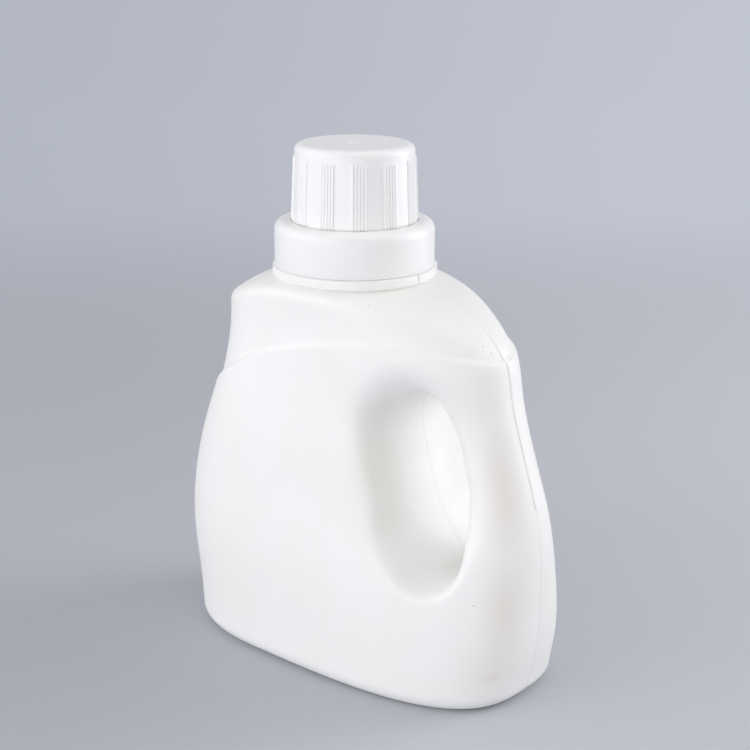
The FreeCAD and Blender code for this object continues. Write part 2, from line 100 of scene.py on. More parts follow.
def sheet(points, around=False):
    """Vertices and four-cornered faces of a grid of points (rows, columns, 3).  around joins the
    last column to the first."""
    rows, columns = points.shape[:2]
    index = np.arange(rows * columns).reshape(rows, columns)
    if around:
        index = np.concatenate([index, index[:, :1]], axis=1)
    corners = [index[:-1, :-1], index[:-1, 1:], index[1:, 1:], index[1:, :-1]]
    return points.reshape(-1, 3), np.stack(corners, axis=-1).reshape(-1, 4)


def mirrored(part):
    """The same sheet on the other side of the parting plane."""
    points, faces = part
    return points * np.array([1, -1, 1]), faces[:, ::-1]


def joined(parts):
    """Several sheets as one set of vertices and faces."""
    starts = np.cumsum([0] + [len(points) for points, _ in parts[:-1]])
    points = np.concatenate([points for points, _ in parts])
    faces = np.concatenate([faces + start for (_, faces), start in zip(parts, starts)])
    return points, faces


def make_piece(name, parts, body, replaces=()):
    """Makes one mesh object from sheets in millimetres: doubles merged, faces turned outwards,
    shaded smooth except at hard corners."""
    points, faces = joined(parts)
    mesh = bpy.data.meshes.new(name)
    mesh.from_pydata((points * METRES).tolist(), [], faces.tolist())
    work = bmesh.new()
    work.from_mesh(mesh)
    bmesh.ops.remove_doubles(work, verts=work.verts, dist=WELD)
    bmesh.ops.dissolve_degenerate(work, edges=work.edges, dist=WELD / 10)
    bmesh.ops.recalc_face_normals(work, faces=work.faces)
    work.to_mesh(mesh)
    odd_edges = sum(1 for edge in work.edges if not edge.is_manifold)
    triangles = sum(len(face.verts) - 2 for face in work.faces)
    work.free()
    mesh.shade_smooth()
    mesh.set_sharp_from_angle(angle=SHARP)
    piece = bpy.data.objects.new(name, mesh)
    bpy.context.scene.collection.objects.link(piece)
    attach(piece, body)
    if replaces:
        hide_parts(*replaces)
    print(f"{name}: {triangles} triangles, {odd_edges} edges without exactly two faces")
    return piece


def spline(knots, values):
    """A curve through the values at the knots that bends like a thin strip: pieces of third
    degree whose slope and bend agree where they meet.  Outside the knots it goes on straight."""
    x, y = np.asarray(knots, float), np.asarray(values, float)
    gap = np.diff(x)
    slope = np.diff(y) / gap
    count = len(x)
    matrix = np.zeros((count, count))
    matrix[0, 0] = matrix[-1, -1] = 1
    inner = np.arange(1, count - 1)
    matrix[inner, inner - 1] = gap[:-1]
    matrix[inner, inner] = 2 * (gap[:-1] + gap[1:])
    matrix[inner, inner + 1] = gap[1:]
    right = np.zeros(count)
    right[inner] = 6 * np.diff(slope)
    bend = np.linalg.solve(matrix, right)

    def curve(at):
        at = np.asarray(at, float)
        held = np.clip(at, x[0], x[-1])
        k = np.clip(np.searchsorted(x, held) - 1, 0, count - 2)
        left, span = held - x[k], gap[k]
        start = slope[k] - span * (2 * bend[k] + bend[k + 1]) / 6
        value = y[k] + left * (start + left * (bend[k] / 2 + left * (bend[k + 1] - bend[k]) / span / 6))
        end_slope = slope[-1] + gap[-1] * bend[-2] / 6
        first_slope = slope[0] - gap[0] * bend[1] / 6
        beyond = np.where(at > x[-1], end_slope, first_slope)
        return value + (at - held) * beyond

    return curve


def round_spline(turns, values):
    """A spline of the direction that closes on itself: the same knots over three rounds."""
    rounds = np.add.outer([-2 * math.pi, 0, 2 * math.pi], turns).ravel()
    return spline(rounds, np.tile(values, 3))


def ease(low, high, value):
    """Rises smoothly from 0 at low to 1 at high."""
    share = np.clip((value - low) / (high - low), 0, 1)
    return share * share * (3 - 2 * share)


def both_ends(count):
    """Shares from 0 to 1 that crowd together at both ends, as the shadow of even steps round a
    half circle."""
    return (1 - np.cos(np.linspace(0, math.pi, count))) / 2


def nearly_even(count):
    """Shares from 0 to 1 that are only a little closer together at both ends."""
    return both_ends(count) * 0.35 + np.linspace(0, 1, count) * 0.65


def blunt_max(first, second, softness):
    """The larger of two values, with the corner between them rounded over."""
    near = np.maximum(softness - np.abs(first - second), 0) / softness
    return np.maximum(first, second) + near * near * softness / 4


def crossing(inside, low, high):
    """Where a test changes between low, at which it holds, and high, at which it does not: each
    step keeps the half of the interval that holds the change."""
    for _ in range(HALVINGS):
        middle = (low + high) / 2
        here = inside(middle)
        low, high = np.where(here, middle, low), np.where(here, high, middle)
    return (low + high) / 2


# %% [markdown]
# ## The bottle's form
# A blown bottle has no flat faces: its plan outline changes slowly with height.  It could be drawn
# through a stack of outlines, but then the arched ledge and the soft meeting of roof and walls
# would have to be cut in later.  So the form is written as one rule that says how far a point lies
# outside the plastic, and the skin is where the rule gives zero.  The rule joins four things: side
# walls with an egg-shaped plan, the sloping roof round the neck, the rounded foot, and the label
# panel that stands a little proud below an arched ledge.

# %% Driving sizes of the bottle
NECK_TOP = node_box("bottle")[1][2]
collar_low, collar_high = node_box("spout_collar")
cap_low, cap_high = node_box("measuring_cap")
NECK_X = (cap_low[0] + cap_high[0]) / 2
COLLAR_RADIUS = collar_high[1]
WALL = 1.2
RING_RADIUS, RING_HEIGHT = COLLAR_RADIUS + 0.8, 3.4
RING_BOTTOM = NECK_TOP - 16.0
RING_TOP = RING_BOTTOM + RING_HEIGHT
RING_FOOT = RING_RADIUS - 1.8
NECK_RADIUS, NECK_BORE = 27.0, 25.2
PANEL_STEP = 1.5
FOOT_RADIUS = 6.5
ROOF_SOFTNESS = 2.6
print(f"neck at x {NECK_X:.1f}, ring from {RING_BOTTOM:.1f} to {RING_TOP:.1f}")

# %% Side walls
# For each height: reach to the back and to the handle, and half depth.  The last five heights
# close the outline in under the roof.
HEIGHTS = [0, 8, 20, 45, 70, 95, 106, 118, 130, 136, 140, 145, 149, 153.4]
BACK = [
    -77.8, -78.2, -79.4, -82.7, -80.5, -72.0, -68.0, -65.4, -64.6, -65.0, -65.4, -65.8, -65.8, -65.0,
]
HANDLE = [77.6, 79.0, 81.5, 82.75, 80.9, 73.6, 70.0, 66.8, 64.2, 61.2, 57.9, 52.6, 47.0, 40.0]
HALF = [43.9, 44.0, 44.2, 44.7, 42.9, 40.9, 39.4, 37.9, 36.8, 36.5, 36.4, 36.4, 36.4, 36.2]
back_at, handle_at, half_at = (spline(HEIGHTS, row) for row in (BACK, HANDLE, HALF))
# How full the outline is at the back and at the handle: 2 is an ellipse, more is squarer.
full_back_at = spline([0, 20, 45, 95, 130, 153.4], [2.50, 2.38, 2.28, 2.28, 2.30, 2.35])
full_handle_at = spline(
    [0, 20, 45, 70, 95, 118, 130, 142, 153.4], [2.9, 2.72, 2.4, 2.12, 2.05, 2.1, 2.1, 2.0, 2.0]
)
widest_at = spline([0, 125, 140, 153.4], [-25, -25, -18, -12])
print(f"side walls: {max(HANDLE) - min(BACK):.1f} long and {2 * max(HALF):.1f} deep")


def outside_walls(x, y, z):
    """How far a point lies outside the side walls.  The distance from the widest point, as a
    share of the reach, and the depth, as a share of the half depth, are raised to the outline's
    fullness and added: on the wall the sum is one."""
    middle = widest_at(z)
    forward = x > middle
    reach = np.where(forward, handle_at(z) - middle, middle - back_at(z))
    fullness = np.where(forward, full_handle_at(z), full_back_at(z))
    along = (np.abs(x - middle) / reach) ** fullness
    across = (np.abs(y) / half_at(z)) ** fullness
    total = along + across + 1e-12
    scale = (along * reach + across * half_at(z)) / total
    return (total ** (1 / fullness) - 1) * scale


# %% Roof
roof_front = spline([0, 1.8, 9.9, 23.4, 33, 39, 44, 50], [0, 0.2, 1.2, 4.6, 9.6, 14.0, 18.6, 26])
roof_side = spline([0, 3, 6, 10, 20, 40], [0, 0.5, 1.6, 3.8, 11.5, 29])
roof_back = spline([0, 5, 10, 15, 20, 24, 28], [0, 1.3, 3.4, 6.2, 9.6, 13.0, 17.2])
HIP, FILLET = 1.6, 1.0


def roof_height(x, y):
    """The roof falls away from the ring's foot, gently towards the handle and steeply to the
    sides.  Between those directions the fall is a mixture, by the square of the direction.  Both
    sides of the ridge to the handle sink by a hip, and the corner at the ring's foot by a fillet."""
    right, depth = x - NECK_X, np.abs(y)
    distance = np.hypot(right, depth)
    beyond = np.maximum(distance - RING_FOOT, 0)
    facing = right / np.maximum(distance, 1e-6)
    fall = (1 - facing**2) * roof_side(beyond)
    fall = fall + facing**2 * np.where(facing > 0, roof_front(beyond), roof_back(beyond))
    hip = HIP * (1 - np.exp(-depth / 6)) * ease(12, 34, beyond) * (facing > 0)
    fillet = FILLET * (1 - np.exp(-beyond))
    return RING_BOTTOM - fillet - fall - hip


print(f"the roof falls {RING_BOTTOM - roof_height(56.0, 0.0):.1f} on its way to the handle")


# %% Label panel
# The panel's edge is an arc of a large circle over both broad faces.
ARCH_X, ARCH_Z, ARCH_RADIUS = 28.0, -7.15, 143.3
LEDGE_BELOW, LEDGE_ABOVE = 1.1, 0.7
ROOF_SHARE = 0.85    # distance from the roof, as a share of the height above it


def below_arch(x, z):
    """How far a point is below the panel's arched edge."""
    return ARCH_RADIUS - np.hypot(x - ARCH_X, z - ARCH_Z)


def panel_setback(x, z):
    """The shoulder is set back from the panel by one step, over a narrow rounded ledge."""
    return PANEL_STEP * (1 - ease(-LEDGE_ABOVE, LEDGE_BELOW, below_arch(x, z)))


def outside(x, y, z, inset=0.0):
    """The whole rule: positive outside the plastic, zero on its skin.  An inset gives the skin
    that lies this far further in."""
    foot = np.clip(FOOT_RADIUS - (z - inset), 0, FOOT_RADIUS)
    tuck = FOOT_RADIUS - np.sqrt(np.maximum(FOOT_RADIUS**2 - foot**2, 0))
    walls = outside_walls(x, y, z) + panel_setback(x, z) + tuck + inset
    roof = (z - roof_height(x, y)) * ROOF_SHARE + inset
    return blunt_max(walls, roof, ROOF_SOFTNESS)


def skin_depth(x, z, inset=0.0):
    """The skin's distance from the parting plane at each (x, z); zero where the point is outside
    the body."""
    start, stop = np.zeros_like(x), np.full_like(x, 60.0)
    depth = crossing(lambda y: outside(x, y, z, inset) < 0, start, stop)
    return np.where(depth < 1e-6, 0.0, depth)


def profile_x(z, side, inset=0.0):
    """The x of the body's outline in the parting plane at each height, on the handle's side (1)
    or at the back (-1)."""
    z = np.asarray(z, float)
    start, stop = np.full_like(z, -20.0), np.full_like(z, side * 90.0)
    return crossing(lambda x: outside(x, 0 * x, z, inset) < 0, start, stop)


def profile_z(x):
    """The height of the body's outline in the parting plane, on the roof beside the ring."""
    x = np.asarray(x, float)
    start, stop = np.full_like(x, 100.0), np.full_like(x, RING_BOTTOM + 2)
    return crossing(lambda z: outside(x, 0 * x, z) < 0, start, stop)


print(f"the handle's outline reaches {profile_x(45.0, 1):.2f}")


# %% [markdown]
# ## The opening behind the handle
# The two mould halves pinch the plastic together inside the handle.  A cutter would leave a hard
# edge there, and the real one has none: the opening's edge in the parting plane is a closed
# bean-shaped curve, and from it the skin swells out to the broad faces like a quarter of an
# ellipse, short and square on the body's side, long and round on the grip.

# %% Opening
OPENING_X, OPENING_Z = 42.5, 80.0
OPENING_EDGE = np.array([
    (25.0, 105.5), (28.8, 112.4), (35.2, 116.4), (41.6, 114.6), (46.8, 107.0), (51.1, 95.0),
    (54.6, 82.0), (57.4, 70.5), (58.9, 60.5), (57.7, 53.0), (51.8, 50.2), (43.8, 55.8),
    (36.5, 65.6), (32.0, 76.6), (28.5, 87.0), (25.8, 97.7),
])
offset = OPENING_EDGE - (OPENING_X, OPENING_Z)
edge_angle = np.arctan2(offset[:, 1], offset[:, 0])
order = np.argsort(edge_angle)
edge_at = round_spline(edge_angle[order], np.hypot(offset[:, 0], offset[:, 1])[order])

# How far the rounding beside the opening reaches and how square it is, by direction.  On the
# body's side the wall is nearly upright with a soft corner; the grip is round.
ROUNDING_TURNS = [-math.pi, -2.55, -1.8, -0.65, -0.08, 0.45, 1.25, 1.95, 2.65]
ROUNDING = [16.4, 13.6, 9.5, 10.5, 22.0, 24.0, 19.5, 17.5, 17.4]
SQUARENESS = [4.9, 3.9, 2.5, 2.1, 2.1, 2.0, 2.0, 3.0, 5.2]
rounding_at = round_spline(ROUNDING_TURNS, ROUNDING)
squareness_at = round_spline(ROUNDING_TURNS, SQUARENESS)
print("opening, length and height:", np.ptp(OPENING_EDGE, axis=0).round(1))

# %% Distance from the opening's edge
NEAR_STARTS, NEWTON_STEPS = 96, 5
TINY_TURN, LONGEST_STEP = 1e-3, 0.05


def on_ray(angle, reach):
    """The point (x, z) at this distance from the opening's centre, in this direction."""
    return np.stack([OPENING_X + reach * np.cos(angle), OPENING_Z + reach * np.sin(angle)], -1)


def edge_point(angle):
    """The point (x, z) of the opening's edge in a direction from its centre."""
    return on_ray(angle, edge_at(angle))


def edge_gap(x, z):
    """The distance from the opening's edge.  The best of a ring of starting points is improved
    by Newton's rule: the line to the nearest point is square to the edge."""
    place = np.stack([x, z], -1)
    starts = np.linspace(-math.pi, math.pi, NEAR_STARTS, endpoint=False)
    gaps = np.sum((place[..., None, :] - edge_point(starts)) ** 2, axis=-1)
    angle = starts[np.argmin(gaps, axis=-1)]
    for _ in range(NEWTON_STEPS):
        before, here, after = (edge_point(angle + step) for step in (-TINY_TURN, 0, TINY_TURN))
        along = (after - before) / (2 * TINY_TURN)
        bend = (after - 2 * here + before) / TINY_TURN**2
        line = here - place
        slope = np.sum(line * along, axis=-1)
        steep = np.sum(along * along, axis=-1) + np.sum(line * bend, axis=-1)
        angle = angle - np.clip(slope / np.maximum(steep, 1.0), -LONGEST_STEP, LONGEST_STEP)
    return np.linalg.norm(edge_point(angle) - place, axis=-1)


def opening_swell(x, z, inset=0.0):
    """The share of the full depth that the skin has reached beside the opening: zero at the
    opening's edge, one where the rounding ends, and a quarter of a superellipse between."""
    turn = np.arctan2(z - OPENING_Z, x - OPENING_X)
    share = np.clip((edge_gap(x, z) - inset) / rounding_at(turn), 0, 1)
    square = squareness_at(turn)
    return (1 - (1 - share) ** square) ** (1 / square)


# %% [markdown]
# ## The skin as sheets
# Each mould half is two sheets.  The panel sheet runs from the opening's edge outwards to the
# arch, the handle's outline, the foot and the back.  The shoulder sheet runs from the arch up to
# the outline and the neck.  Rows crowd together at the edges, where the skin turns fastest, and
# they follow the ledge and the opening, so that both stay crisp with few faces.

# %% Outlines that the sheets share
TOUCH = 0.02          # how far below the ring the roof's last row lies


def arch_point(angle):
    """The point (x, z) of the panel's arch in a direction from its circle's centre."""
    return np.stack([ARCH_X + ARCH_RADIUS * np.cos(angle), ARCH_Z + ARCH_RADIUS * np.sin(angle)], -1)


def arch_points(shares, inset):
    """Points (x, z) along the arch from the back (share 0) to the handle (share 1).  It ends where
    it meets the outline."""
    def inside(angle):
        x, z = arch_point(angle).T
        return outside(x, 0 * x, z, inset) < 0

    back, handle = crossing(inside, np.radians([95.0, 95.0]), np.radians([150.0, 40.0]))
    return arch_point(back + (handle - back) * shares)


def outline_points(low, high, side, count, inset):
    """Points (x, z) of the body's outline in the parting plane between two heights."""
    z = low + (high - low) * both_ends(count)
    return np.stack([profile_x(z, side, inset), z], -1)


def panel_rim(counts, inset):
    """The panel sheet's outer edge as (x, z), clockwise from the arch's back end: over the arch,
    down the handle, back along the foot and up the back."""
    on_arch, on_handle, on_foot, on_back = counts
    arch = arch_points(nearly_even(on_arch), inset)
    handle = outline_points(arch[-1, 1], inset, 1, on_handle, inset)
    back = outline_points(inset, arch[0, 1], -1, on_back, inset)
    foot_x = handle[-1, 0] + (back[0, 0] - handle[-1, 0]) * both_ends(on_foot)
    foot = np.stack([foot_x, np.full(on_foot, float(inset))], -1)
    return np.concatenate([arch[:-1], handle[:-1], foot[:-1], back])


def opening_edge(rim, inset):
    """The opening's edge in the same directions as the rim's points.  An inset moves it outwards,
    by more where the edge leans across the direction."""
    angle = np.arctan2(rim[:, 1] - OPENING_Z, rim[:, 0] - OPENING_X)
    lean = (edge_at(angle + 0.01) - edge_at(angle - 0.01)) / 0.02 / edge_at(angle)
    return on_ray(angle, edge_at(angle) + inset * np.sqrt(1 + lean**2))


def panel_sheet(counts, rows, inset):
    """One half's panel: straight lines from the opening's edge to the rim, each lifted to the
    skin.  The parting plane's edges have no depth."""
    rim = panel_rim(counts, inset)
    edge = opening_edge(rim, inset)
    share = both_ends(rows)[:, None, None]
    flat = edge[None] + (rim - edge)[None] * share
    depth = skin_depth(flat[..., 0], flat[..., 1], inset)
    depth = depth * opening_swell(flat[..., 0], flat[..., 1], inset)
    depth[0] = 0
    on_arch, on_handle, on_foot, _ = counts
    handle_start = on_arch - 1
    foot_start = handle_start + on_handle - 1
    foot_end = foot_start + on_foot - 1
    depth[-1, handle_start : foot_start + 1] = 0
    depth[-1, foot_end:] = 0
    depth[-1, 0] = 0
    return np.stack([flat[..., 0], -depth, flat[..., 1]], -1)


# %% Shoulder
# Angles round the neck for one half: even steps, with a fine pair beside the parting plane.
NECK_STEPS = 72
SEAM_ANGLE = math.radians(0.8)
even = np.linspace(0, math.pi, NECK_STEPS + 1)
half_turn = np.sort(np.append(even, [SEAM_ANGLE, math.pi - SEAM_ANGLE]))


def shoulder_sheet(on_side, rows, inset):
    """One half's shoulder: lines from the arch up to the back outline, the neck and the handle
    outline, each lifted to the skin."""
    top = RING_BOTTOM - inset
    arch_back, arch_handle = arch_points(np.array([0.0, 1.0]), inset)
    neck = np.stack([NECK_X + RING_FOOT * np.cos(half_turn[::-1]), np.full(len(half_turn), top)], -1)
    back = outline_points(arch_back[1], top - TOUCH, -1, on_side, inset)
    back[-1] = neck[0]
    handle = outline_points(top - TOUCH, arch_handle[1], 1, on_side, inset)
    handle[0] = neck[-1]
    upper = np.concatenate([back[:-1], neck, handle[1:]])
    count = len(upper)
    lower = arch_points(nearly_even(count), inset)
    share = both_ends(rows)[:, None, None]
    flat = lower[None] + (upper - lower)[None] * share
    depth = skin_depth(flat[..., 0], flat[..., 1], inset)
    depth[-1] = 0
    depth[:, 0] = 0
    depth[:, -1] = 0
    start = on_side - 1
    depth[-1, start : start + len(neck)] = RING_FOOT * np.sin(half_turn[::-1])
    return np.stack([flat[..., 0], -depth, flat[..., 1]], -1), count


outer_shoulder, arch_count = shoulder_sheet(on_side=34, rows=34, inset=0.0)
outer_counts = (arch_count, 84, 92, 70)
outer_panel = panel_sheet(outer_counts, rows=70, inset=0.0)
print("panel", outer_panel.shape, "shoulder", outer_shoulder.shape)
print("length", outer_panel[..., 0].min().round(2), outer_panel[..., 0].max().round(2))
print("half depth", (-outer_panel[..., 1]).max().round(2))

# %% [markdown]
# ## Base, neck and inside
# Under the foot the skin goes on to a shallow hollow, so that the bottle stands on a ring.  The
# neck is turned: a ring that the collar seats above, a plain tube, and a thread that winds round
# it.  The inside is the same form one wall further in, worked out again rather than thickened
# from the outside, so that an open neck looks into a real hollow.

# %% Base
PUSH_UP, PUSH_UP_INSET = 1.6, 13.0
SPINE_SHARE = 0.62    # length of the line under the middle, as a share of the foot's


def base_sheet(panel, counts, rows, inset):
    """The underside of one half: the foot's edge drawn in towards a line under the middle.  It
    rises into the hollow once it is far enough from the edge."""
    foot_start = counts[0] + counts[1] - 2
    edge = panel[-1, foot_start : foot_start + counts[2]]
    keep = np.linspace(1, 0, rows)[:, None]
    spine = edge[:, 0] * SPINE_SHARE
    x = spine + (edge[:, 0] - spine) * keep
    y = edge[:, 1] * keep
    travelled = np.hypot(edge[:, 0] - x, edge[:, 1] - y)
    rise = PUSH_UP * ease(PUSH_UP_INSET - 3, PUSH_UP_INSET + 1, travelled)
    z = inset + rise * ease(0, 4, np.abs(edge[:, 1])) + 0 * x
    return np.stack([x, y, z], -1)


# %% Turned forms
# At the ring the two mould halves are out of true: one is this much prouder and higher, and a
# groove runs between them.  The collar stands over a low land on top of the ring.
RING_STEP, RING_LIFT, GROOVE = 0.35, 0.06, 0.45
LAND = 0.18


def turned_sheet(outline, angles, step=True):
    """A profile of (radius, height) turned about the neck's axis over these angles.  With step,
    the far half of the ring stands a little higher and prouder, and a fine groove marks the
    parting plane."""
    radius, height = (np.array(part, float)[:, None] for part in zip(*outline))
    far = (angles > SEAM_ANGLE / 2) & (angles < math.pi + SEAM_ANGLE / 2)
    on_ring = (radius > RING_FOOT + 0.5) & (height > RING_BOTTOM + 0.3)
    stepped = far & on_ring & step
    seam = (np.abs(np.sin(angles)) < math.sin(SEAM_ANGLE) / 2) & on_ring & step
    r = radius + RING_STEP * stepped - GROOVE * seam
    z = height + RING_LIFT * (stepped & (height > RING_TOP - 1))
    return np.stack([NECK_X + r * np.cos(angles), r * np.sin(angles), z + 0 * r], -1)


def arc(middle, radius, start, stop, count=5):
    """Points of a profile on part of a circle, from one direction to another in degrees."""
    turn = np.radians(np.linspace(start, stop, count))
    return [(middle[0] + radius * math.cos(a), middle[1] + radius * math.sin(a)) for a in turn]


def closed_strip(grid):
    """A row of closed sections as one sheet, each end gathered to its middle."""
    middle = grid.mean(axis=1, keepdims=True) + 0 * grid
    return sheet(np.concatenate([middle[:1], grid, middle[-1:]]), around=True)


def thread(radius, crest, bottom, lead, rounds, first, width):
    """A screw thread: a rounded ridge carried up a helix, fading out at both ends.  A negative
    crest points inwards; first is the angle at which it starts."""
    along = np.linspace(0, 1, int(64 * rounds))
    angle = first + along * rounds * 2 * math.pi
    fade = ease(0, 0.09, along) * (1 - ease(0.91, 1, along))
    across = np.array([-0.5, -0.42, -0.2, 0.2, 0.42, 0.5, 0.5, -0.5])
    out = np.array([0.0, 0.35, 1.0, 1.0, 0.35, 0.0, -0.12, -0.12])
    r = radius + crest * np.where(out > 0, out * fade[:, None], out)
    z = bottom + (along * rounds * lead)[:, None] + across * width
    return closed_strip(
        np.stack([NECK_X + r * np.cos(angle)[:, None], r * np.sin(angle)[:, None], z], -1)
    )


# %% Neck
NECK_LEAD, CAP_LEAD = 4.0, 5.0
full_turn = np.concatenate([half_turn[:-1], half_turn[:-1] + math.pi])
inside_top = RING_BOTTOM - WALL
NECK_PROFILE = [
    (RING_FOOT, RING_BOTTOM),
    (RING_FOOT + 0.5, RING_BOTTOM - 0.7),
    (RING_RADIUS - 0.3, RING_BOTTOM - 0.05),
    *arc((RING_RADIUS - 0.3, RING_BOTTOM + 0.3), 0.3, -50, 0, 4),
    *arc((RING_RADIUS - 0.3, RING_TOP - 0.3), 0.3, 0, 90, 4),
    (COLLAR_RADIUS, RING_TOP),
    (COLLAR_RADIUS - 0.15, RING_TOP + LAND),
    (NECK_RADIUS + 0.4, RING_TOP + LAND),
    (NECK_RADIUS, RING_TOP + 0.4),
    (NECK_RADIUS, NECK_TOP - 0.5),
    (NECK_RADIUS - 0.5, NECK_TOP),
    (NECK_BORE + 0.4, NECK_TOP),
    (NECK_BORE, NECK_TOP - 0.4),
    (NECK_BORE, inside_top + 0.6),
    (NECK_BORE + 0.6, inside_top),
    (RING_FOOT, inside_top),
]
neck = [
    sheet(turned_sheet(NECK_PROFILE, full_turn), around=True),
    thread(NECK_RADIUS, 1.35, RING_TOP + 3.6, NECK_LEAD, rounds=1.6, first=0.4, width=2.2),
]
print(f"neck: {len(NECK_PROFILE)} rings of {len(full_turn)} points, bore {2 * NECK_BORE:.1f}")

# %% [markdown]
# ### Parting line
# The halves of the mould leave a fine line all round.  From the roof down the grip it widens into
# a raised band of flash, which ends above the handle's widest part.  It could be a groove in the
# material, but a strip of its own catches the light on both edges and shows in the outline.

# %% Parting line
FLASH_WIDTH, FLASH_HEIGHT = 1.7, 0.42
LINE_WIDTH, LINE_HEIGHT = 0.6, 0.1
FLASH_BOTTOM, FLASH_TOP = 77.5, 148.5
SKIN_RADIUS = 11.0    # how the skin curves away on both sides of the parting plane
ROOF_END, BACK_TOP = 46.0, 150.0


def inward_normals(path, towards):
    """Unit normals of a path in the parting plane, pointing to the side of the given point."""
    tangent = np.gradient(path, axis=0)
    normal = np.stack([-tangent[:, 1], tangent[:, 0]], -1)
    normal /= np.linalg.norm(normal, axis=1, keepdims=True)
    facing = np.sum(normal * (np.array(towards) - path), axis=1, keepdims=True)
    return normal * np.where(facing < 0, -1, 1)


def seam_strip(path, inwards, width, height):
    """A thin closed strip laid over the skin along a path in the parting plane.  Its section is a
    low cushion; its lower side and its edges are sunk in the skin."""
    across = np.array([-0.5, -0.4, -0.25, 0.0, 0.25, 0.4, 0.5, 0.3, -0.3])
    raised = np.array([-0.6, 0.55, 0.95, 1.0, 0.95, 0.55, -0.6, -2.2, -2.2])
    y = across * width[:, None]
    out = raised * height[:, None] - y**2 / (2 * SKIN_RADIUS)
    x, z = (path[:, k : k + 1] - inwards[:, k : k + 1] * out for k in (0, 1))
    return closed_strip(np.stack([x, y, z], -1))


def side_path(roof_x, top, side):
    """The outline in the parting plane over the roof and down one side, to just above the foot."""
    z = np.concatenate([np.linspace(top, 8, 130), np.linspace(7, 0.6, 9)])
    roof = np.stack([roof_x, profile_z(roof_x)], -1)
    return np.concatenate([roof, np.stack([profile_x(z, side), z], -1)])


def side_seam(path, band):
    """The seam along a side, as fine as the mould line where band is 0 and as wide and high as the
    flash where it is 1."""
    width = LINE_WIDTH + (FLASH_WIDTH - LINE_WIDTH) * band
    height = LINE_HEIGHT + (FLASH_HEIGHT - LINE_HEIGHT) * band
    return seam_strip(path, inward_normals(path, (0, 70)), width, height)


def outer_seams():
    """The seam down the handle's side, with its band of flash, and the seam down the back."""
    roof_x = np.linspace(NECK_X + RING_FOOT + 0.4, ROOF_END, 30)
    handle = side_path(roof_x, profile_z(ROOF_END) - 0.8, 1)
    z = handle[:, 1]
    band = ease(FLASH_BOTTOM - 0.5, FLASH_BOTTOM + 0.5, z) * (1 - ease(FLASH_TOP - 10, FLASH_TOP, z))
    roof_x = np.linspace(NECK_X - RING_FOOT - 0.4, profile_x(BACK_TOP, -1) + 0.8, 12)
    back = side_path(roof_x, BACK_TOP, -1)
    return [side_seam(handle, band), side_seam(back, 0 * back[:, 1])]


def opening_seam():
    """The seam round the inside of the opening, as a closed ring of strip."""
    path = edge_point(np.linspace(-math.pi, math.pi, 181))
    inwards = -inward_normals(path, (OPENING_X, OPENING_Z))
    ones = np.ones(len(path))
    return seam_strip(path, inwards, LINE_WIDTH * ones, LINE_HEIGHT * ones)


# %% Bottle
def skin_parts(panel, shoulder, counts, base_rows, inset):
    """Both halves of one skin with its base, as sheets.  One half is worked out, and the other is
    its reflection in the parting plane."""
    halves = []
    for half in (panel, shoulder, base_sheet(panel, counts, base_rows, inset)):
        halves += [sheet(half), mirrored(sheet(half))]
    return halves


inner_shoulder, inner_arch = shoulder_sheet(on_side=12, rows=10, inset=WALL)
inner_counts = (inner_arch, 26, 30, 22)
inner_panel = panel_sheet(inner_counts, rows=20, inset=WALL)
bottle = make_piece(
    "detergent_bottle",
    [
        *skin_parts(outer_panel, outer_shoulder, outer_counts, 16, 0.0),
        *skin_parts(inner_panel, inner_shoulder, inner_counts, 8, WALL),
        *neck,
        *outer_seams(),
        opening_seam(),
    ],
    "bottle_shell",
    replaces=["bottle"],
)

# %% [markdown]
# ## Screw collar
# A moulding of polypropylene: a skirt that screws on the neck, a rounded top, and a well that hangs
# in the neck.  The spout stands on the well's floor, its lip raked for pouring, and a hole on the
# spout's low side lets drips run home.  Nearly all of it is one profile turned about the axis; only
# the floor with its hole and the raked spout need sheets of their own.

# %% Sizes of the collar
COLLAR_BOTTOM = collar_low[2]
COLLAR_TOP = COLLAR_BOTTOM + 17.2
COLLAR_INSIDE = COLLAR_RADIUS - 1.6
LEDGE = COLLAR_TOP - 2.3
WELL_OUTSIDE, WELL_RADIUS, MOUTH_RADIUS = NECK_BORE - 0.3, NECK_BORE - 1.6, NECK_BORE + 0.4
WELL_FLOOR, FLOOR_BOTTOM = COLLAR_TOP - 14.6, COLLAR_TOP - 16.0
LIP_RADIUS = MOUTH_RADIUS - 1.0
SEAT = NECK_TOP + 1.2
SPOUT_FOOT, SPOUT_TIP_RADIUS, SPOUT_WALL = 13.0, 11.0, 1.2
SPOUT_TIP, SPOUT_RAKE = WELL_FLOOR + 23.0, 9.0
DRAIN_RADIUS, DRAIN_SECTOR = 2.5, 0.45      # the sector is half of its angle
print(f"collar from {COLLAR_BOTTOM:.1f} to {COLLAR_TOP:.1f}, radius {COLLAR_RADIUS:.1f}")

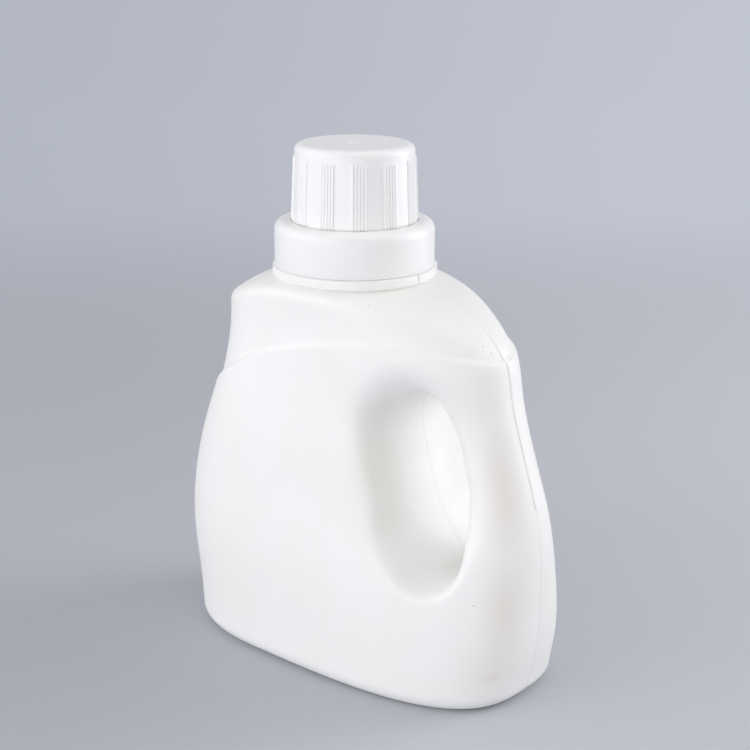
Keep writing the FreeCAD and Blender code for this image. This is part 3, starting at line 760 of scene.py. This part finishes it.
# %% Collar's profile
COLLAR_STEPS = 180
collar_turns = np.linspace(0, 2 * math.pi, COLLAR_STEPS, endpoint=False)
COLLAR_PROFILE = [
    *arc((COLLAR_INSIDE + 0.4, COLLAR_BOTTOM + 0.4), 0.4, 180, 270, 4),
    *arc((COLLAR_RADIUS - 0.15, COLLAR_BOTTOM + 0.15), 0.15, -90, 0, 4),
    (COLLAR_RADIUS, COLLAR_BOTTOM + 4),
    (COLLAR_RADIUS, COLLAR_TOP - 8),
    *arc((COLLAR_RADIUS - 3.9, COLLAR_TOP - 3.9), 3.9, 0, 90, 13),
    *arc((LIP_RADIUS + 0.8, COLLAR_TOP - 0.8), 0.8, 90, 180, 6),
    (MOUTH_RADIUS, COLLAR_TOP - 0.8),
    (MOUTH_RADIUS, LEDGE + 0.3),
    (MOUTH_RADIUS - 0.3, LEDGE),
    *arc((WELL_RADIUS + 0.4, LEDGE - 0.4), 0.4, 90, 180, 4),
    (WELL_RADIUS, WELL_FLOOR + 1.0),
    *arc((WELL_RADIUS - 1.0, WELL_FLOOR + 1.0), 1.0, 0, -90, 5),
    (WELL_RADIUS - 1.2, FLOOR_BOTTOM),
    (WELL_OUTSIDE - 0.5, FLOOR_BOTTOM),
    (WELL_OUTSIDE, FLOOR_BOTTOM + 0.5),
    (WELL_OUTSIDE, SEAT),
    (NECK_RADIUS + 0.2, SEAT),
    (NECK_RADIUS + 0.2, COLLAR_TOP - 1.6),
    (COLLAR_INSIDE - 2.0, COLLAR_TOP - 1.6),
    (COLLAR_INSIDE, COLLAR_TOP - 3.6),
    (COLLAR_INSIDE, COLLAR_BOTTOM + 0.4),
]


# %% Well floor
def well_floor():
    """The well's floor as a plate with two holes: the spout's passage and the drain.  Rays from the
    drain's edge fill a sector of the ring; a plain grid fills the rest of it."""
    inner, outer = SPOUT_FOOT - 0.6, WELL_RADIUS - 0.6
    drain_at = (SPOUT_FOOT + WELL_RADIUS) / 2
    radii = np.linspace(inner, outer, 7)
    start, stop = math.pi - DRAIN_SECTOR, math.pi + DRAIN_SECTOR
    over = np.linspace(start, stop, 9)
    rim = np.concatenate([
        np.stack([outer * np.cos(over), outer * np.sin(over)], -1)[:-1],
        np.stack([radii[::-1] * math.cos(stop), radii[::-1] * math.sin(stop)], -1)[:-1],
        np.stack([inner * np.cos(over[::-1]), inner * np.sin(over[::-1])], -1)[:-1],
        np.stack([radii * math.cos(start), radii * math.sin(start)], -1)[:-1],
    ])
    towards = np.arctan2(rim[:, 1], rim[:, 0] + drain_at)
    hole = np.stack([DRAIN_RADIUS * np.cos(towards) - drain_at, DRAIN_RADIUS * np.sin(towards)], -1)
    share = np.linspace(0, 1, 4)[:, None, None]
    sector = hole[None] + (rim - hole)[None] * share
    rest = np.linspace(stop, start + 2 * math.pi, 60)
    ring = np.stack([radii[:, None] * np.cos(rest), radii[:, None] * np.sin(rest)], -1)
    parts = []
    for flat, around in ((sector, True), (ring, False)):
        for height in (WELL_FLOOR, FLOOR_BOTTOM):
            level = np.full(flat.shape[:2] + (1,), height)
            parts.append(sheet(np.concatenate([flat + (NECK_X, 0), level], axis=-1), around))
    drain = np.concatenate([hole, hole]).reshape(2, -1, 2) + (NECK_X, 0)
    levels = np.array([WELL_FLOOR, FLOOR_BOTTOM])[:, None, None] + 0 * drain[..., :1]
    return [*parts, sheet(np.concatenate([drain, levels], axis=-1), around=True)]


# %% Spout
def spout():
    """The spout as one path turned about the axis: up the outside, over the lip and down the
    inside.  The lip's height falls evenly from the pouring side to the low side."""
    share = np.array([0.0, 0.02, 0.3, 0.6, 0.9, 0.985, 1.0, 1.0, 0.985, 0.9, 0.5, -0.06])
    skin = np.array([0.9, 0.0, 0.0, 0.0, 0.0, 0.0, 0.25, 0.75, 1.0, 1.0, 1.0, 1.0])
    outside_radius = SPOUT_FOOT + (SPOUT_TIP_RADIUS - SPOUT_FOOT) * np.clip(share, 0, 1)
    outside_radius[0] += 1.0
    radius = (outside_radius - np.where(share == 0.0, 0.0, skin * SPOUT_WALL))[:, None]
    lean = (1 - np.cos(collar_turns)) / 2 * SPOUT_RAKE * SPOUT_TIP_RADIUS / SPOUT_FOOT
    lip = SPOUT_TIP - 0.7 - lean
    z = WELL_FLOOR + (lip - WELL_FLOOR) * share[:, None]
    x, y = NECK_X + radius * np.cos(collar_turns), radius * np.sin(collar_turns)
    grid = np.stack([x, y, z], -1)
    return sheet(np.concatenate([grid, grid[:1]]), around=True)


# %% Pouring collar
collar = make_piece(
    "pouring_collar",
    [
        sheet(turned_sheet(COLLAR_PROFILE, collar_turns, step=False), around=True),
        *well_floor(),
        spout(),
        thread(COLLAR_INSIDE, -0.9, RING_TOP + 1.7, NECK_LEAD, rounds=2.0, first=0.4, width=1.5),
        thread(WELL_RADIUS, -0.8, FLOOR_BOTTOM + 4.6, CAP_LEAD, rounds=1.2, first=2.0, width=1.8),
    ],
    "collar",
    replaces=["spout_collar"],
)

# %% [markdown]
# ## Measuring cap
# The cap is a cup with a double foot: the ribbed outer wall ends in the collar's mouth, and a
# threaded skirt goes down into the well.  Twelve groups of five fine ribs give the fingers a hold.
# The ribs are real ridges of the turned wall, because they show in its outline and their shadows
# move with the light; the points round the cap crowd together over them.

# %% Sizes of the cap
CAP_TOP, SKIRT_BOTTOM = cap_high[2], cap_low[2]
CAP_FOOT = LEDGE + 1.4
CAP_FOOT_RADIUS, CAP_TOP_RADIUS = MOUTH_RADIUS - 1.4, MOUTH_RADIUS - 2.7
CAP_EDGE, CAP_WALL = 3.0, 1.5
SKIRT_ROOT, SKIRT_INNER = WELL_RADIUS - 1.4, WELL_RADIUS - 2.9
GATE_RADIUS, GATE_DEPTH = 2.0, 0.6      # the dimple in the top, with a pip in its middle
print(f"cap from {SKIRT_BOTTOM:.1f} to {CAP_TOP:.1f}")

# %% Ribs round the cap
RIB_GROUPS, RIB_PROUD, RIB_TOP = 12, 0.45, COLLAR_TOP + 24.6
GROUP_STEP = 360 / RIB_GROUPS
RIB_HALF, RIB_PITCH, RIB_PHASE = 1.0, 2.9, 15.4     # degrees


def rib_turns():
    """Angles round the cap in degrees: close together over the ribs, wide over the smooth wall."""
    across_rib = np.array([-1.30, -1.0, -0.85, -0.45, 0.0, 0.45, 0.85, 1.0])
    group = (np.arange(-2, 3)[:, None] * RIB_PITCH + across_rib).ravel()
    last = 2 * RIB_PITCH + 1.30
    smooth = np.linspace(last, GROUP_STEP - last, 6)[:-1]
    one = np.concatenate([group, smooth])
    return (RIB_PHASE + np.arange(RIB_GROUPS)[:, None] * GROUP_STEP + one).ravel()


cap_degrees = rib_turns()
cap_turns = np.radians(cap_degrees)


def rib_rise(degrees, height):
    """How far the ribs stand out of the wall.  Across a rib the rise is a flat cushion; at both
    ends of the rib it runs out in a short slope."""
    in_group = (degrees - RIB_PHASE + GROUP_STEP / 2) % GROUP_STEP - GROUP_STEP / 2
    number = np.clip(np.round(in_group / RIB_PITCH), -2, 2)
    off = np.abs(in_group - number * RIB_PITCH) / RIB_HALF
    in_pad = np.abs(in_group) < 2 * RIB_PITCH + RIB_HALF + 0.01
    cushion = np.where(off < 1, 1 - 0.35 * off**4, 0.15 * in_pad) * RIB_PROUD
    ends = ease(RIB_TOP, RIB_TOP - 0.8, height) * ease(CAP_FOOT + 0.5, CAP_FOOT + 1.0, height)
    return cushion * ends[:, None]


print(f"ribs: {5 * RIB_GROUPS}, {len(cap_degrees)} points round the cap")


# %% The cap's path
def cap_surface():
    """The cap's whole skin as one path turned about the axis: from inside the skirt down and
    round its foot, up to the outer wall's foot, up the ribbed wall, over the edge to the middle of
    the top, and back down the inside."""
    feet = [
        (SKIRT_INNER + 0.1, CAP_FOOT),
        (SKIRT_INNER, SKIRT_BOTTOM + 0.4),
        (SKIRT_INNER + 0.4, SKIRT_BOTTOM),
        (SKIRT_ROOT - 0.4, SKIRT_BOTTOM),
        (SKIRT_ROOT, SKIRT_BOTTOM + 0.4),
        (SKIRT_ROOT, CAP_FOOT - 0.3),
        (SKIRT_ROOT + 0.3, CAP_FOOT),
        (CAP_FOOT_RADIUS + 0.1, CAP_FOOT),
        (CAP_FOOT_RADIUS + 0.28, CAP_FOOT + 0.15),
        (CAP_FOOT_RADIUS + 0.2, CAP_FOOT + 0.35),
    ]
    wall_z = np.concatenate([
        [CAP_FOOT + 0.5, CAP_FOOT + 1.0],
        np.linspace(CAP_FOOT + 2, RIB_TOP - 1.6, 9),
        [RIB_TOP - 0.8, RIB_TOP - 0.5, RIB_TOP - 0.2, RIB_TOP, CAP_TOP - CAP_EDGE - 0.5],
    ])
    fall = (CAP_FOOT_RADIUS - CAP_TOP_RADIUS) / (CAP_TOP - CAP_FOOT)
    wall = np.stack([CAP_FOOT_RADIUS - (wall_z - CAP_FOOT) * fall, wall_z], -1)
    top = [
        *arc((CAP_TOP_RADIUS - CAP_EDGE + 0.15, CAP_TOP - CAP_EDGE), CAP_EDGE, 3, 90, 11),
        (18.0, CAP_TOP - 0.02),
        (12.0, CAP_TOP - 0.05),
        (GATE_RADIUS + 1.0, CAP_TOP - 0.05),
        (GATE_RADIUS + 0.2, CAP_TOP - 0.05),
        (GATE_RADIUS, CAP_TOP - 0.15),
        (GATE_RADIUS - 0.25, CAP_TOP - GATE_DEPTH),
        (0.7, CAP_TOP - GATE_DEPTH),
        (0.6, CAP_TOP - 0.1),
        (0.0, CAP_TOP - 0.05),
    ]
    inside = [
        (0.0, CAP_TOP - CAP_WALL),
        (16.0, CAP_TOP - CAP_WALL),
        *arc((CAP_TOP_RADIUS - CAP_WALL - 2.0, CAP_TOP - CAP_WALL - 2.0), 1.8, 90, 0, 6),
        (SKIRT_INNER + 0.1, CAP_FOOT),
    ]
    radius, z = np.concatenate([feet, wall, top, inside])[..., None].swapaxes(0, 1)
    r = radius + 0 * cap_turns
    r[len(feet) : len(feet) + len(wall)] += rib_rise(cap_degrees, wall_z)
    grid = [NECK_X + r * np.cos(cap_turns), r * np.sin(cap_turns), z + 0 * r]
    return sheet(np.stack(grid, -1), around=True)


cap = make_piece(
    "ribbed_cap",
    [
        cap_surface(),
        thread(SKIRT_ROOT, 0.95, SKIRT_BOTTOM + 1.6, CAP_LEAD, rounds=1.3, first=2.0, width=2.0),
    ],
    "cap",
    replaces=["measuring_cap"],
)

# %% [markdown]
# ## Materials
# Shader values are written as ordinary arithmetic.  A term is the output of a node; adding or
# multiplying terms adds the node that does it.  The same could be wired by hand in the shader
# editor, but an expression shows at a glance what the colour depends on.

# %% Shader arithmetic
class Term:
    """A quantity that varies over a surface.  Arithmetic with numbers or other terms gives a new
    term, in either order."""

    def __init__(self, tree, socket=None):
        self.tree, self.socket = tree, socket

    def node(self, kind, settings=None, inputs=None, output=0):
        """Adds a node: its settings are made first, then each input is linked or set."""
        node = self.tree.nodes.new(kind)
        for name, value in (settings or {}).items():
            setattr(node, name, value)
        for name, value in (inputs or {}).items():
            if isinstance(value, Term):
                self.tree.links.new(value.socket, node.inputs[name])
            else:
                node.inputs[name].default_value = value
        return Term(self.tree, node.outputs[output])

    def maths(self, operation, *values):
        """Math on single numbers."""
        return self.node("ShaderNodeMath", {"operation": operation}, dict(enumerate(values)))

    def vector(self, operation, *values, output=0):
        """Math on positions and colours, part by part."""
        settings = {"operation": operation}
        return self.node("ShaderNodeVectorMath", settings, dict(enumerate(values)), output)

    def __add__(self, other):
        return self.maths("ADD", self, other)

    def __radd__(self, other):
        return self.maths("ADD", other, self)

    def __sub__(self, other):
        return self.maths("SUBTRACT", self, other)

    def __rsub__(self, other):
        return self.maths("SUBTRACT", other, self)

    def __mul__(self, other):
        return self.maths("MULTIPLY", self, other)

    def __rmul__(self, other):
        return self.maths("MULTIPLY", other, self)

    def __truediv__(self, other):
        return self.maths("DIVIDE", self, other)

    def __rtruediv__(self, other):
        return self.maths("DIVIDE", other, self)

    def between(self, low, high):
        """0 up to low, 1 from high on, and a smooth rise between; falls if high is below low."""
        inputs = {"Value": self, "From Min": low, "From Max": high}
        return self.node("ShaderNodeMapRange", {"interpolation_type": "SMOOTHSTEP"}, inputs)

    def noise(self, scale, detail=2.0, stretch=None):
        """Smooth random values round 0.5 over this position."""
        place = self.vector("MULTIPLY", self, stretch) if stretch else self
        inputs = {"Vector": place, "Scale": scale, "Detail": detail}
        return self.node("ShaderNodeTexNoise", None, inputs)

    def away_from(self, point, stretch=(1, 1, 1)):
        """Distance in millimetres of this position from a point given in millimetres; a stretch
        makes the regions of equal distance long or flat."""
        line = self.vector("SUBTRACT", self, [part * METRES for part in point])
        line = self.vector("MULTIPLY", line, [part / METRES for part in stretch])
        return self.vector("LENGTH", line, output="Value")

    def outputs(self):
        """Every output of the node that this term comes from, by name."""
        return {socket.name: Term(self.tree, socket) for socket in self.socket.node.outputs}


def blend(share, first, second):
    """A colour between two colours.  The Mix node's colour sockets are found by number."""
    inputs = {0: share, 6: first, 7: second}
    return share.node("ShaderNodeMix", {"data_type": "RGBA"}, inputs, output=2)


def new_material(name, **constants):
    """A material with these values on its shader, and the position in the piece, in metres."""
    material = bpy.data.materials.new(name)
    material.use_nodes = True
    tree = material.node_tree
    shader = tree.nodes["Principled BSDF"]
    for socket, value in constants.items():
        shader.inputs[socket.replace("_", " ")].default_value = value
    place = Term(tree).node("ShaderNodeTexCoord", output="Object")
    return material, shader, place


def finish(material, piece, shader, **terms):
    """Links each term to the shader's socket of that name and puts the material on the piece."""
    for socket, term in terms.items():
        term.tree.links.new(term.socket, shader.inputs[socket.replace("_", " ")])
    piece.data.materials.clear()
    piece.data.materials.append(material)
    print(f"{material.name}: {len(material.node_tree.nodes)} nodes")


def bump(height):
    """A normal bent by a height in millimetres."""
    return height.node("ShaderNodeBump", None, {"Height": height, "Distance": METRES})


# %% [markdown]
# ### Blown polyethylene
# White, and a little warmer than the closure.  The hollow behind the grip has painted shade in its
# colour, greyer and yellower, standing in for the shade and bounced light there.  The wall is too
# thin for light to scatter far inside it, so it is opaque here.  The skin copies the blasted mould:
# a fine grain, and over it the slow waves that are left where a blown wall cools unevenly.
# Handling leaves a few specks of dirt and faint grey rubs, most of them on the grip; one small dark
# patch near the foot on the grip's side is painted shade, where a dent's crease would be.  Each
# speck and rub is a distance from a place, so that it stays put on the skin.

# %% Colours and marks of the bottle
WHITE = (0.890, 0.887, 0.864, 1.0)
# Painted shade: the colour that the hollow behind the grip is tinted towards.
PAINTED_HOLLOW_SHADE = (0.830, 0.832, 0.760, 1.0)
CLOUDED = (0.876, 0.873, 0.842, 1.0)
# Grey-brown of the rubs, and of the painted shade of a dent near the foot.
RUB_AND_DENT_SHADE_TONE = (0.815, 0.775, 0.715, 1.0)
DIRT = (0.36, 0.32, 0.27, 1.0)
# The middle of the painted shade in the hollow behind the grip.
SHADED_HOLLOW_POINT = (27.5, -28.5, 82.0)
# Specks: a place on the skin and a radius.
SPECKS = [
    ((57.1, -6.2, 137.1), 0.38),
    ((59.7, -4.3, 134.7), 0.42),
    ((62.6, 4.1, 131.4), 0.35),
    ((70.1, -24.8, 44.9), 0.32),
    ((20.1, -26.3, 149.8), 0.26),
    ((-20.1, -43.0, 65.8), 0.26),
    ((24.0, 41.0, 92.0), 0.40),
    ((-48.0, 36.0, 60.0), 0.35),
]
# Rubs, and one patch of painted dent shade: a place, how the patch is stretched, how far it reaches and
# how strong it is.
RUBS_AND_DENT_SHADE = [
    ((72.0, -12.5, 86.0), (1, 0.9, 0.28), 11.0, 0.85),
    ((78.5, -17.5, 43.0), (1, 0.8, 0.45), 11.0, 0.90),
    ((27.0, -24.0, 108.0), (1, 1, 0.8), 9.0, 0.30),
    ((40.0, -32.0, 50.0), (0.5, 1, 1), 8.0, 0.20),
    ((32.6, 7.0, 150.5), (0.6, 1, 1), 2.6, 0.34),
    # Painted shade: a small dark patch near the foot on the grip's side, where a dent's crease would
    # be; the form has no dent.
    ((76.0, -20.2, 16.1), (0.55, 0.6, 1), 3.6, 0.75),
    ((76.5, -19.5, 24.0), (0.6, 0.6, 0.8), 12.0, 0.30),
    ((73.0, 13.0, 95.0), (1, 0.9, 0.4), 8.0, 0.28),
    ((-79.0, 14.0, 55.0), (1, 0.8, 0.5), 8.0, 0.20),
]
# Two short scratches across the wall beside the grip.
TICKS = [(24.3, -21.6, 99.6), (29.0, -25.2, 81.8)]
print(f"{len(SPECKS)} specks, {len(RUBS_AND_DENT_SHADE)} rubs and {len(TICKS)} scratches")

# %% Blown polyethylene
hdpe, shader, place = new_material("blown_polyethylene", IOR=1.52)
cloud = place.noise(38.0, 3.0)
grain = place.noise(1100.0, 2.0)
waves = place.noise(45.0, 1.0, stretch=(1.0, 1.0, 0.6))
ragged = place.noise(900.0, 3.0)
colour = blend(cloud.between(0.35, 0.65), WHITE, CLOUDED)
# Painted shade in the hollow behind the grip: greyer and yellower towards its middle, for its shade and
# bounced light.
hollow = place.away_from(SHADED_HOLLOW_POINT, (1.0, 1.0, 0.42)).between(16.0, 6.0)
colour = blend(hollow * (0.35 + cloud * 0.6), colour, PAINTED_HOLLOW_SHADE)
# Each rub, and the painted dent shade, blends the colour towards the rub tone.
for point, stretch, reach, strength in RUBS_AND_DENT_SHADE:
    patch = place.away_from(point, stretch).between(reach, 0.0)
    colour = blend(patch * strength * (0.55 + cloud * 0.9), colour, RUB_AND_DENT_SHADE_TONE)
specks = 0.0
for point, radius in SPECKS:
    distance = place.away_from(point) + ragged * 0.4
    specks = specks + distance.between(radius + 0.3, radius * 0.5 + 0.1)
for point in TICKS:
    distance = place.away_from(point, (0.22, 0.22, 2.2)) + ragged * 0.6
    specks = specks + distance.between(1.1, 0.4) * 0.25
finish(
    hdpe,
    bottle,
    shader,
    Base_Color=blend(specks.between(0.0, 1.0), colour, DIRT),
    Roughness=0.40 + cloud * 0.14 + specks * 0.2,
    Normal=bump(grain * 0.035 + waves * 0.28),
)

# %% [markdown]
# ### Moulded polypropylene
# Collar and cap come from polished tools, so they are glossier than the bottle.  Where the well
# joins the collar's wall the plastic sinks a little and leaves faint streaks that run round the
# skirt: noise that is stretched round the axis, shallow in the normal and a little rougher.

# %% Moulded polypropylene
CAP_WHITE = (0.890, 0.889, 0.875, 1.0)
CAP_CLOUDED = (0.880, 0.879, 0.862, 1.0)
STREAK_ANGLE = -1.95    # round the axis, where the streaks are strongest
pp, shader, place = new_material("moulded_polypropylene", IOR=1.49)
x, y, z = place.node("ShaderNodeSeparateXYZ", None, {0: place}).outputs().values()
turn = y.maths("ARCTAN2", y, x - NECK_X * METRES)
round_skirt = place.node("ShaderNodeCombineXYZ", None, {0: turn * 0.008, 1: z, 2: 0.0})
streaks = round_skirt.noise(420.0, 2.0)
cloud = place.noise(60.0, 1.0)
on_skirt = z.between(COLLAR_BOTTOM * METRES, (COLLAR_BOTTOM + 3) * METRES)
on_skirt = on_skirt * z.between((COLLAR_TOP - 3) * METRES, (COLLAR_TOP - 6) * METRES)
off = turn - STREAK_ANGLE
facing = off.maths("ABSOLUTE", off).between(0.95, 0.2) * 0.8 + 0.2
sunk = streaks.between(0.45, 0.75) * on_skirt * facing
surface = {
    "Base_Color": blend(cloud, CAP_WHITE, CAP_CLOUDED),
    "Roughness": 0.28 + cloud * 0.06 + sunk * 0.08,
    "Normal": bump(sunk * -0.04),
}
for piece in (collar, cap):
    finish(pp, piece, shader, **surface)

# %% [markdown]
# ### Seal foam
# The two gaskets are rings punched from white closed-cell foam.  Their shape is plain, so the
# packed rings stay and only get a finish: fine cells in the colour and the normal.

# %% Seal foam
FOAM, FOAM_CELL = (0.80, 0.80, 0.79, 1.0), (0.72, 0.72, 0.71, 1.0)
foam, shader, place = new_material("seal_foam", IOR=1.45)
cell = place.noise(1500.0, 2.0)
surface = {
    "Base_Color": blend(cell.between(0.3, 0.7), FOAM, FOAM_CELL),
    "Roughness": 0.75 + cell * 0.15,
    "Normal": bump(cell * 0.3),
}
for gasket in ("neck_gasket", "cap_gasket"):
    finish(foam, bpy.data.objects[gasket], shader, **surface)

# %% [markdown]
# ## Studio
# Pale paper runs from under the bottle up behind it.  Near the bottle it is lit by the lamps and
# takes the shadow, and its colour there is painted lighter towards the right, in the way the lamps'
# light falls.  Further off, to the camera and in reflections, it glows with painted light that
# stands in for the lamps' light, lighter towards the right.  An even tone from lamps alone would
# take a much larger room, and more light on the bottle.
# Soft lamps stand on both sides.  The right-hand pair is stronger and stands far round, so that
# the grip and the collar show where its light ends.

# %% Paper
SWEEP_RADIUS, SWEEP_BACK, SWEEP_FRONT, SWEEP_SIDE, SWEEP_TOP = 0.9, 1.6, 1.5, 2.4, 2.2


def sweep():
    """The studio's paper: flat under the bottle, bent up through a quarter circle, then upright.
    One parameter goes along this profile, the other across it."""
    turn = np.linspace(-math.pi / 2, 0, 17)
    away = SWEEP_BACK + SWEEP_RADIUS * np.cos(turn)
    up = SWEEP_RADIUS + SWEEP_RADIUS * np.sin(turn)
    away = np.concatenate([[-SWEEP_FRONT], away, [SWEEP_BACK + SWEEP_RADIUS]])[:, None]
    up = np.concatenate([[0.0], up, [SWEEP_TOP]])[:, None]
    across = np.linspace(-SWEEP_SIDE, SWEEP_SIDE, 5)[None, :]
    heading = CAMERA_HEADING
    x = away * heading[0] + across * heading[1]
    y = away * heading[1] - across * heading[0]
    return sheet(np.stack([x, y, up + 0 * x], -1))


points, faces = sweep()
paper_mesh = bpy.data.meshes.new("paper")
paper_mesh.from_pydata(points.tolist(), [], faces.tolist())
paper_mesh.shade_smooth()
paper = bpy.data.objects.new("paper", paper_mesh)
bpy.context.scene.collection.objects.link(paper)

# Painted light: the paper's colours near the bottle and its glow further off grow lighter from left to
# right, as the lamps' light falls.
LIT_LEFT, LIT_RIGHT = (0.455, 0.478, 0.515, 1), (0.530, 0.550, 0.582, 1)
GLOW_LEFT, GLOW_RIGHT = (0.445, 0.473, 0.539, 1), (0.533, 0.558, 0.631, 1)
BLACK = (0, 0, 0, 1)
FAN_POINT = 0.5625   # metres before the bottle: the paper's tones fan out sideways from here
paper_finish, shader, place = new_material(
    "paper", Roughness=0.9, Specular_IOR_Level=0.1, Emission_Strength=1.0
)
x, y, _ = place.node("ShaderNodeSeparateXYZ", None, {0: place}).outputs().values()
away = x * CAMERA_HEADING[0] + y * CAMERA_HEADING[1]
across = x * -CAMERA_HEADING[1] + y * CAMERA_HEADING[0]
ahead = away + FAN_POINT
# The share of painted light across the paper, from the darker left to the lighter right.
sideways = (across / ahead.maths("MAXIMUM", ahead, 0.1)).between(0.27, -0.27)
rays = place.node("ShaderNodeLightPath").outputs()
seen = rays["Is Camera Ray"] + rays["Is Glossy Ray"] + rays["Is Transmission Ray"]
# Painted light: far from the bottle the paper glows for camera, glossy and transmission rays instead of
# taking lamp light.
glowing = away.between(0.20, 0.95) * seen
finish(
    paper_finish,
    paper,
    shader,
    Base_Color=blend(glowing, blend(sideways, LIT_LEFT, LIT_RIGHT), BLACK),
    Emission_Color=blend(glowing, BLACK, blend(sideways, GLOW_LEFT, GLOW_RIGHT)),
)

# %% Lamps
AIM = Vector((0.0, 0.0, 0.10))
LAMP_COLOUR = (0.938, 0.931, 1.0)
# Name, degrees round from the camera, degrees up, distance, size and watts.
LAMPS = [
    ("left_far", -120, 20, 1.1, (0.7, 1.0), 0.9),
    ("left_softbox", -85, 20, 1.1, (0.7, 1.0), 2.4),
    ("left_near", -55, 20, 1.1, (0.7, 1.0), 3.4),
    ("right_near", 90, 18, 1.0, (0.4, 1.0), 2.8),
    ("right_softbox", 108, 18, 1.0, (0.35, 1.0), 4.25),
    ("overhead", 0, 85, 1.5, (1.2, 1.2), 3.7),
    ("low_fill", -10, -2, 1.2, (1.2, 0.3), 5.6),
]


def lamp(name, right_of_camera, up, distance, size, watts):
    """A soft rectangular lamp, so many degrees round from the camera and above the level."""
    light = bpy.data.lights.new(name, "AREA")
    light.shape = "RECTANGLE"
    light.size, light.size_y = size
    light.energy = watts
    light.color = LAMP_COLOUR
    heading = math.atan2(-CAMERA_HEADING[1], -CAMERA_HEADING[0]) + math.radians(right_of_camera)
    rise = math.radians(up)
    level = math.cos(rise)
    away = Vector((math.cos(heading) * level, math.sin(heading) * level, math.sin(rise)))
    body = bpy.data.objects.new(name, light)
    facing = away.to_track_quat("Z", "Y").to_matrix().to_4x4()
    body.matrix_world = Matrix.Translation(AIM + away * distance) @ facing
    bpy.context.scene.collection.objects.link(body)


for row in LAMPS:
    lamp(*row)
print(f"{len(LAMPS)} lamps")

# %% Surroundings
SURROUNDINGS, SURROUNDINGS_STRENGTH = (0.955, 0.945, 0.935, 1), 0.5
world = bpy.data.worlds.new("studio")
world.use_nodes = True
background = world.node_tree.nodes["Background"]
background.inputs["Color"].default_value = SURROUNDINGS
background.inputs["Strength"].default_value = SURROUNDINGS_STRENGTH
bpy.context.scene.world = world
